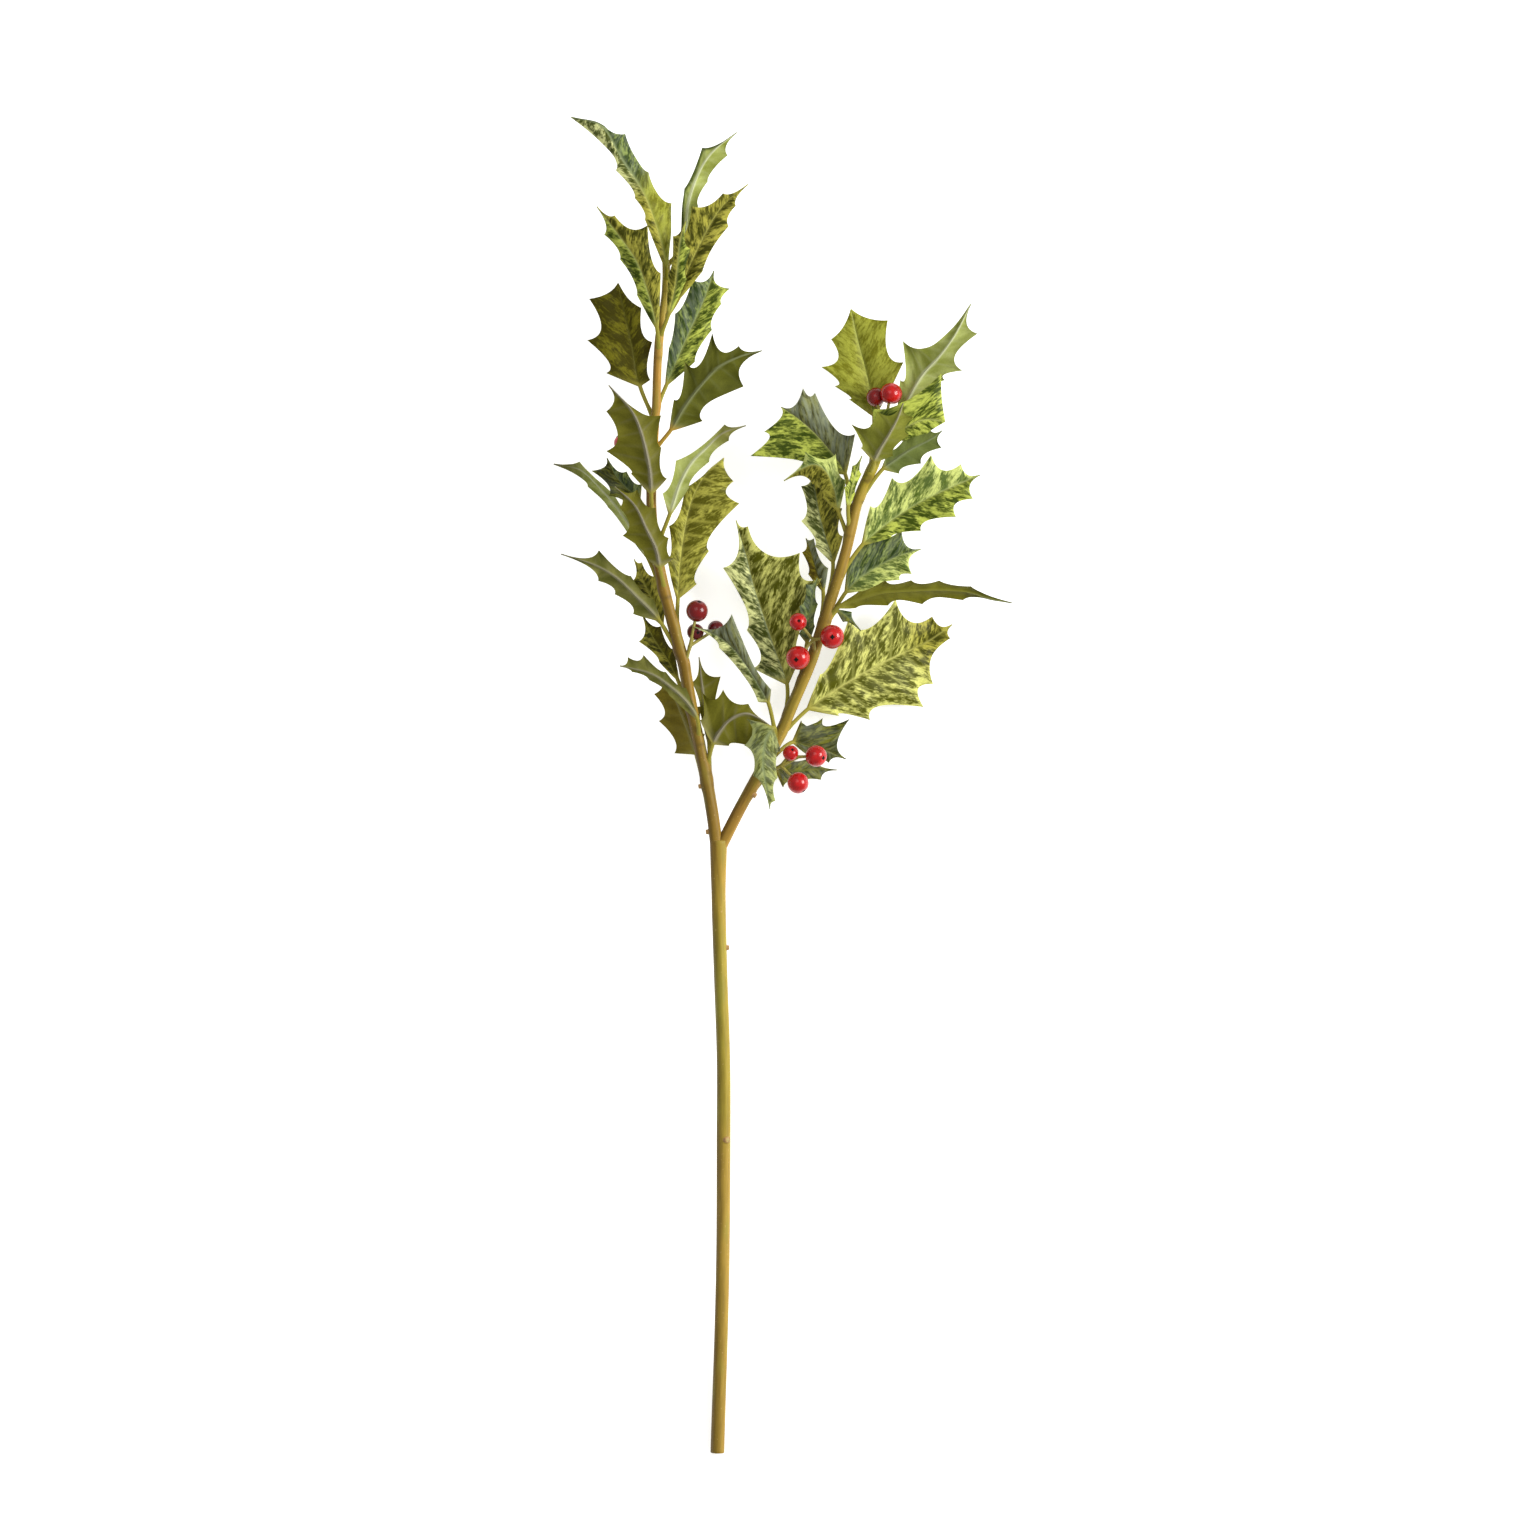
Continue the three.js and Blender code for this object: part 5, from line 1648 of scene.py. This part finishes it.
@dataclass(frozen=True)
class HollyCuticle(LeafFinish):
    """The glossy upper face of a variegated holly leaf.

    A waxy cuticle over green and cream tissue: marbled streaks along the side veins and a soft
    shine. Some blades also get a painted sheen: grey-blue patches that stand in for the lamps'
    reflection. Sizes are lengths and widths in mm.
    """

    bump: tuple[float, float] = (0.5, 0.15)
    # The grey of the painted sheen, which stands in for the lamps' reflection on the glossy face.
    sheen_grey: str = "#98a18c"
    blots: tuple[float, float] = (13.0, 4.2)
    flecks: tuple[float, float] = (3.4, 1.1)
    grain: tuple[float, float] = (0.9, 0.6)
    # The size of the painted sheen's patches.
    sheen_patch: tuple[float, float] = (14.0, 2.0)
    bright_streaks: tuple[float, float] = (8.0, 1.1)
    bright_strength: float = 0.5
    dark_streaks: tuple[float, float] = (8.0, 1.3)
    dark_strength: float = 0.8

    def paint(self, nodes: Nodes) -> tuple[Socket, Socket]:
        """Marbles the leaf: deep green shows where its share is over the blots and flecks.

        Args:
            nodes: the material's nodes.

        Returns:
            The sockets of the colour and of the relief's height.
        """
        colours, shares = self.blade(nodes)
        uv, pale, deep = colours["uv"], colours["pale"], colours["deep"]
        smooth = {"interpolation_type": "SMOOTHSTEP"}
        flecks = nodes.patches(uv, self.flecks, 2.0)
        flecks = nodes.add("Math", {0: flecks, 1: 0.5, 2: -0.25}, operation="MULTIPLY_ADD")[0]
        blots = nodes.patches(uv, self.blots, 3.0)
        marks = nodes.add("Math", {0: blots, 1: flecks}, operation="ADD")[0]
        # Noise keeps within about 0.3 to 0.7, so the share of cover is taken into that range.
        level = {0: shares["cover"], 1: 0.5, 2: 0.25}
        level = nodes.add("Math", level, operation="MULTIPLY_ADD")[0]
        over = nodes.add("Math", {0: level, 1: marks}, operation="SUBTRACT")[0]
        green = nodes.add("MapRange", {0: over, 1: -0.12, 2: 0.12}, **smooth)[0]

        bright = nodes.patches(uv, self.bright_streaks, 2.0)
        bright = nodes.add("MapRange", {0: bright, 1: 0.56, 2: 0.66}, **smooth)[0]
        bright = nodes.add("Math", {0: bright, 1: self.bright_strength}, operation="MULTIPLY")[0]
        moved = nodes.add("Mapping", {"Vector": uv, "Location": (3.1, 5.7, 0)})[0]
        dark = nodes.patches(moved, self.dark_streaks, 2.0)
        dark = nodes.add("MapRange", {0: dark, 1: 0.56, 2: 0.67}, **smooth)[0]
        dark = nodes.add("Math", {0: dark, 1: self.dark_strength}, operation="MULTIPLY")[0]

        grain = nodes.patches(uv, self.grain, 1.0)
        grain = nodes.add("MapRange", {0: grain, 1: 0.3, 2: 0.7, 3: 0.86, 4: 1.14})[0]
        # Painted sheen: grey patches, as much as the blade's share, that stand in for the lamps'
        # reflection.
        sheen_patch = nodes.patches(uv, self.sheen_patch, 2.0)
        sheen_patch = nodes.add("MapRange", {0: sheen_patch, 1: 0.36, 2: 0.64}, **smooth)[0]
        sheened = nodes.add("Math", {0: shares["painted_sheen"], 1: sheen_patch}, operation="MULTIPLY")[0]
        colour = nodes.layered(
            pale,
            (green, deep),
            (bright, pale),
            (dark, deep),
            (shares["vein"], pale),
            (1.0, grain, "MULTIPLY"),
            (sheened, linear(self.sheen_grey)),
            (shares["rib"], colours["rib_tone"]),
        )
        return colour, marks


@dataclass(frozen=True)
class HollyUnderside(LeafFinish):
    """The underside of a holly leaf: smooth, matt and paler, with a broad raised midrib."""

    clouds: tuple[float, float] = (24.0, 7.0)
    grain: tuple[float, float] = (1.1, 0.7)

    def paint(self, nodes: Nodes) -> tuple[Socket, Socket]:
        """Clouds the leaf with deep green: its share is the cloud plus twice the cover less 1.

        Args:
            nodes: the material's nodes.

        Returns:
            The sockets of the colour and of the relief's height.
        """
        colours, shares = self.blade(nodes)
        uv, rib_tone = colours["uv"], colours["rib_tone"]
        cloud = nodes.patches(uv, self.clouds, 2.0)
        cloud = nodes.add("MapRange", {0: cloud, 1: 0.35, 2: 0.65})[0]
        more = {0: shares["cover"], 1: 2.0, 2: -1.0}
        more = nodes.add("Math", more, operation="MULTIPLY_ADD")[0]
        share = nodes.add("Math", {0: cloud, 1: more}, operation="ADD")[0]
        grain = nodes.patches(uv, self.grain, 2.0)
        speck = nodes.add("MapRange", {0: grain, 1: 0.3, 2: 0.7, 3: 0.9, 4: 1.1})[0]
        colour = nodes.layered(
            colours["pale"],
            (share, colours["deep"]),
            (1.0, speck, "MULTIPLY"),
            (shares["vein"], rib_tone),
            (shares["rib"], rib_tone),
        )
        return colour, grain


@dataclass(frozen=True)
class GreenTwigBark(Finish):
    """Young holly bark: smooth and satin, streaked lengthwise, with small pale lenticels.

    The bark's coordinates are 1 to a turn and to 100 mm of length, so that a patch's first size
    is in hundredths of a turn and its second in mm.
    """

    bump: tuple[float, float] = (0.5, 0.2)
    streaks: tuple[float, float] = (9.0, 22.0)
    clouds: tuple[float, float] = (45.0, 40.0)
    cloud_green: str = "#8f8f34"
    dots: tuple[float, float] = (8.0, 1.6)
    lenticel: str = "#c9a765"
    scar: str = "#5b4a1c"

    def paint(self, nodes: Nodes) -> tuple[Socket, Socket]:
        """Streaks the bark's tone, then adds green clouds, lenticels and leaf scars.

        Args:
            nodes: the material's nodes.

        Returns:
            The sockets of the colour and of the relief's height.
        """
        uv = nodes.add("UVMap", uv_map="UVMap")["UV"]
        tone = nodes.add("Attribute", attribute_name="bark_tone")["Color"]
        mark = nodes.add("Attribute", attribute_name="bark_mark")["Fac"]
        streak = nodes.patches(uv, self.streaks, 3.0)
        shade = nodes.add("MapRange", {0: streak, 1: 0.3, 2: 0.7, 3: 0.78, 4: 1.2})[0]
        cloud = nodes.patches(uv, self.clouds, 2.0)
        cloud = nodes.add("MapRange", {0: cloud, 1: 0.5, 2: 0.68, 4: 0.45})[0]
        dot = nodes.patches(uv, self.dots, 1.0)
        dot = nodes.add("MapRange", {0: dot, 1: 0.68, 2: 0.74, 4: 0.45})[0]
        colour = nodes.layered(
            tone,
            (1.0, shade, "MULTIPLY"),
            (cloud, linear(self.cloud_green)),
            (dot, linear(self.lenticel)),
            (mark, linear(self.scar)),
        )
        return colour, streak


@dataclass(frozen=True)
class CutWood(Finish):
    """A fresh cut across a green twig: pale damp wood with faint specks."""

    light: str = "#c7b273"
    dark: str = "#8f7a3c"
    speck: float = 1500.0

    def paint(self, nodes: Nodes) -> tuple[Socket, None]:
        """Specks the wood between its two shades."""
        grain = nodes.specks(self.speck, 2.0)
        return nodes.layered(linear(self.light), (grain, linear(self.dark))), None


@dataclass(frozen=True)
class BerrySkin(Finish):
    """The taut, waxy skin of a ripe holly berry: deep red, glossy, faintly mottled."""

    bump: tuple[float, float] = (0.08, 0.08)
    light: str = "#c01312"
    dark: str = "#9a0b0b"
    wine: str = "#560606"
    mottle: float = 260.0

    def paint(self, nodes: Nodes) -> tuple[Socket, Socket]:
        """Mottles the skin between two reds, and darkens it towards wine red by the berry's own
        share.

        Args:
            nodes: the material's nodes.

        Returns:
            The sockets of the colour and of the relief's height.
        """
        cloud = nodes.specks(self.mottle, 3.0)
        share = nodes.add("MapRange", {0: cloud, 1: 0.35, 2: 0.65})[0]
        darkened = nodes.add("Attribute", attribute_name="skin_darkening")["Fac"]
        dark, wine = linear(self.dark), linear(self.wine)
        return nodes.layered(linear(self.light), (share, dark), (darkened, wine)), cloud

    def extras(self) -> dict[str, object]:
        """The coat of wax, and the flesh that lets a little red light through."""
        return {
            "Coat Weight": 0.2,
            "Coat Roughness": 0.15,
            "Subsurface Weight": 0.08,
            "Subsurface Radius": (1.0, 0.2, 0.1),
            "Subsurface Scale": 0.002,
        }


@dataclass(frozen=True)
class Speckled(Finish):
    """A plain matt surface whose colour wanders between two shades, such as a stalk's."""

    light: str = "#9a8f3a"
    dark: str = "#6f5f22"
    speck: float = 900.0

    def paint(self, nodes: Nodes) -> tuple[Socket, Socket]:
        """Specks the surface between its two shades."""
        grain = nodes.specks(self.speck, 2.0)
        return nodes.layered(linear(self.light), (grain, linear(self.dark))), grain


@dataclass(frozen=True)
class GlowingPaper(Speckled):
    """Matt white paper, lit from behind so that it stays nearly white under the sprig."""

    glow: float = 0.6

    def extras(self) -> dict[str, object]:
        """The light that comes through the paper."""
        return {"Emission Color": WHITE, "Emission Strength": self.glow}


# ---- The studio ----


@dataclass
class Studio:
    """Pale floor, soft lights and the camera straight above the sprig. Sizes are in metres."""

    view_centre: tuple[float, float] = (23.5, 38.0)  # mm from the fork
    view_width: float = 0.766
    lens: float = 400.0
    sensor: float = 36.0
    mean_height: float = 0.028
    floor_size: float = 24.0
    sky: float = 0.45
    floor_drop: float = 0.0002

    def camera(self) -> bpy.types.Object:
        """Makes the camera look straight down, with view_width across its picture.

        Returns:
            The camera.
        """
        data = bpy.data.cameras.new("camera")
        data.sensor_width, data.lens = self.sensor, self.lens
        data.clip_end = 60.0
        camera = bpy.data.objects.new("camera", data)
        distance = self.view_width * self.lens / self.sensor
        x, y = (np.array(self.view_centre) + FORK[:2]) * MM
        camera.location = (x, y, distance + self.mean_height)
        bpy.context.scene.collection.objects.link(camera)
        bpy.context.scene.camera = camera
        return camera

    def floor(self) -> bpy.types.Object:
        """Makes the pale floor just under the sprig's lowest points.

        Returns:
            The floor.
        """
        half = self.floor_size / 2
        mesh = bpy.data.meshes.new("floor")
        corners = [(-half, -half), (half, -half), (half, half), (-half, half)]
        mesh.from_pydata([(x, y, -self.floor_drop) for x, y in corners], [], [(0, 1, 2, 3)])
        shades = {"light": "#f7f7f6", "dark": "#f4f4f3"}
        mesh.materials.append(GlowingPaper("matt_paper_floor", 0.9, speck=3.0, **shades).build())
        floor = bpy.data.objects.new("floor", mesh)
        bpy.context.scene.collection.objects.link(floor)
        return floor

    def lamp(
        self, name: str, spot: tuple[float, float, float], size: float, watts: float
    ) -> bpy.types.Object:
        """Adds a square soft light that faces the sprig.

        Args:
            name: the lamp's name.
            spot: its place in metres.
            size: its side in metres.
            watts: its power.

        Returns:
            The lamp.
        """
        data = bpy.data.lights.new(name, "AREA")
        data.size, data.energy = size, watts
        lamp = bpy.data.objects.new(name, data)
        lamp.location = spot
        aim = -np.array(spot)
        turn = math.atan2(aim[1], aim[0])
        tilt = math.atan2(math.hypot(aim[0], aim[1]), -aim[2])
        lamp.rotation_euler = (tilt, 0.0, turn - math.pi / 2)
        lamp.visible_camera = False
        bpy.context.scene.collection.objects.link(lamp)
        return lamp

    def build(self) -> None:
        """Sets up the floor, the lights, the sky and the picture's tone."""
        self.floor()
        self.lamp("key_right", (1.65, 0.4, 1.15), 0.9, 46.0)
        self.lamp("fill_top", (-0.4, 0.9, 2.2), 1.2, 8.0)
        world = bpy.data.worlds.new("studio_sky")
        world.use_nodes = True
        sky = world.node_tree.nodes["Background"]
        sky.inputs["Color"].default_value = WHITE
        sky.inputs["Strength"].default_value = self.sky
        bpy.context.scene.world = world
        bpy.context.scene.view_settings.view_transform = "Standard"


def main() -> None:
    """Builds the studio and every piece of the sprig, in order."""
    logging.basicConfig(level=logging.INFO, format="%(name)s: %(message)s")
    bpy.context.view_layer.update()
    studio = Studio()
    studio.camera()
    studio.build()

    cuticle = HollyCuticle("holly_leaf_cuticle", 0.42, 1.18).build()
    underside = HollyUnderside("holly_leaf_underside", 0.55, 1.2).build()
    bark = GreenTwigBark("green_twig_bark", 0.5, 1.33).build()
    cut = CutWood("cut_twig_wood", 0.75, 1.45).build()
    berry = BerrySkin("ripe_berry_skin", 0.26, 1.4).build()
    crown = Speckled("dry_berry_crown", 0.8, 1.3, light="#140d08", dark="#060302").build()
    stalk = Speckled("berry_stalk_bark", 0.55, light="#a39a42", dark="#756a26").build()

    Bark().build(bark, cut)
    for order, leaf in enumerate(LEAVES):
        Blade(leaf, order).build([cuticle, underside])
    for order, cluster in enumerate(CLUSTERS):
        BerryBunch(cluster, order).build([berry, crown, stalk])


if __name__ == "__main__":
    main()
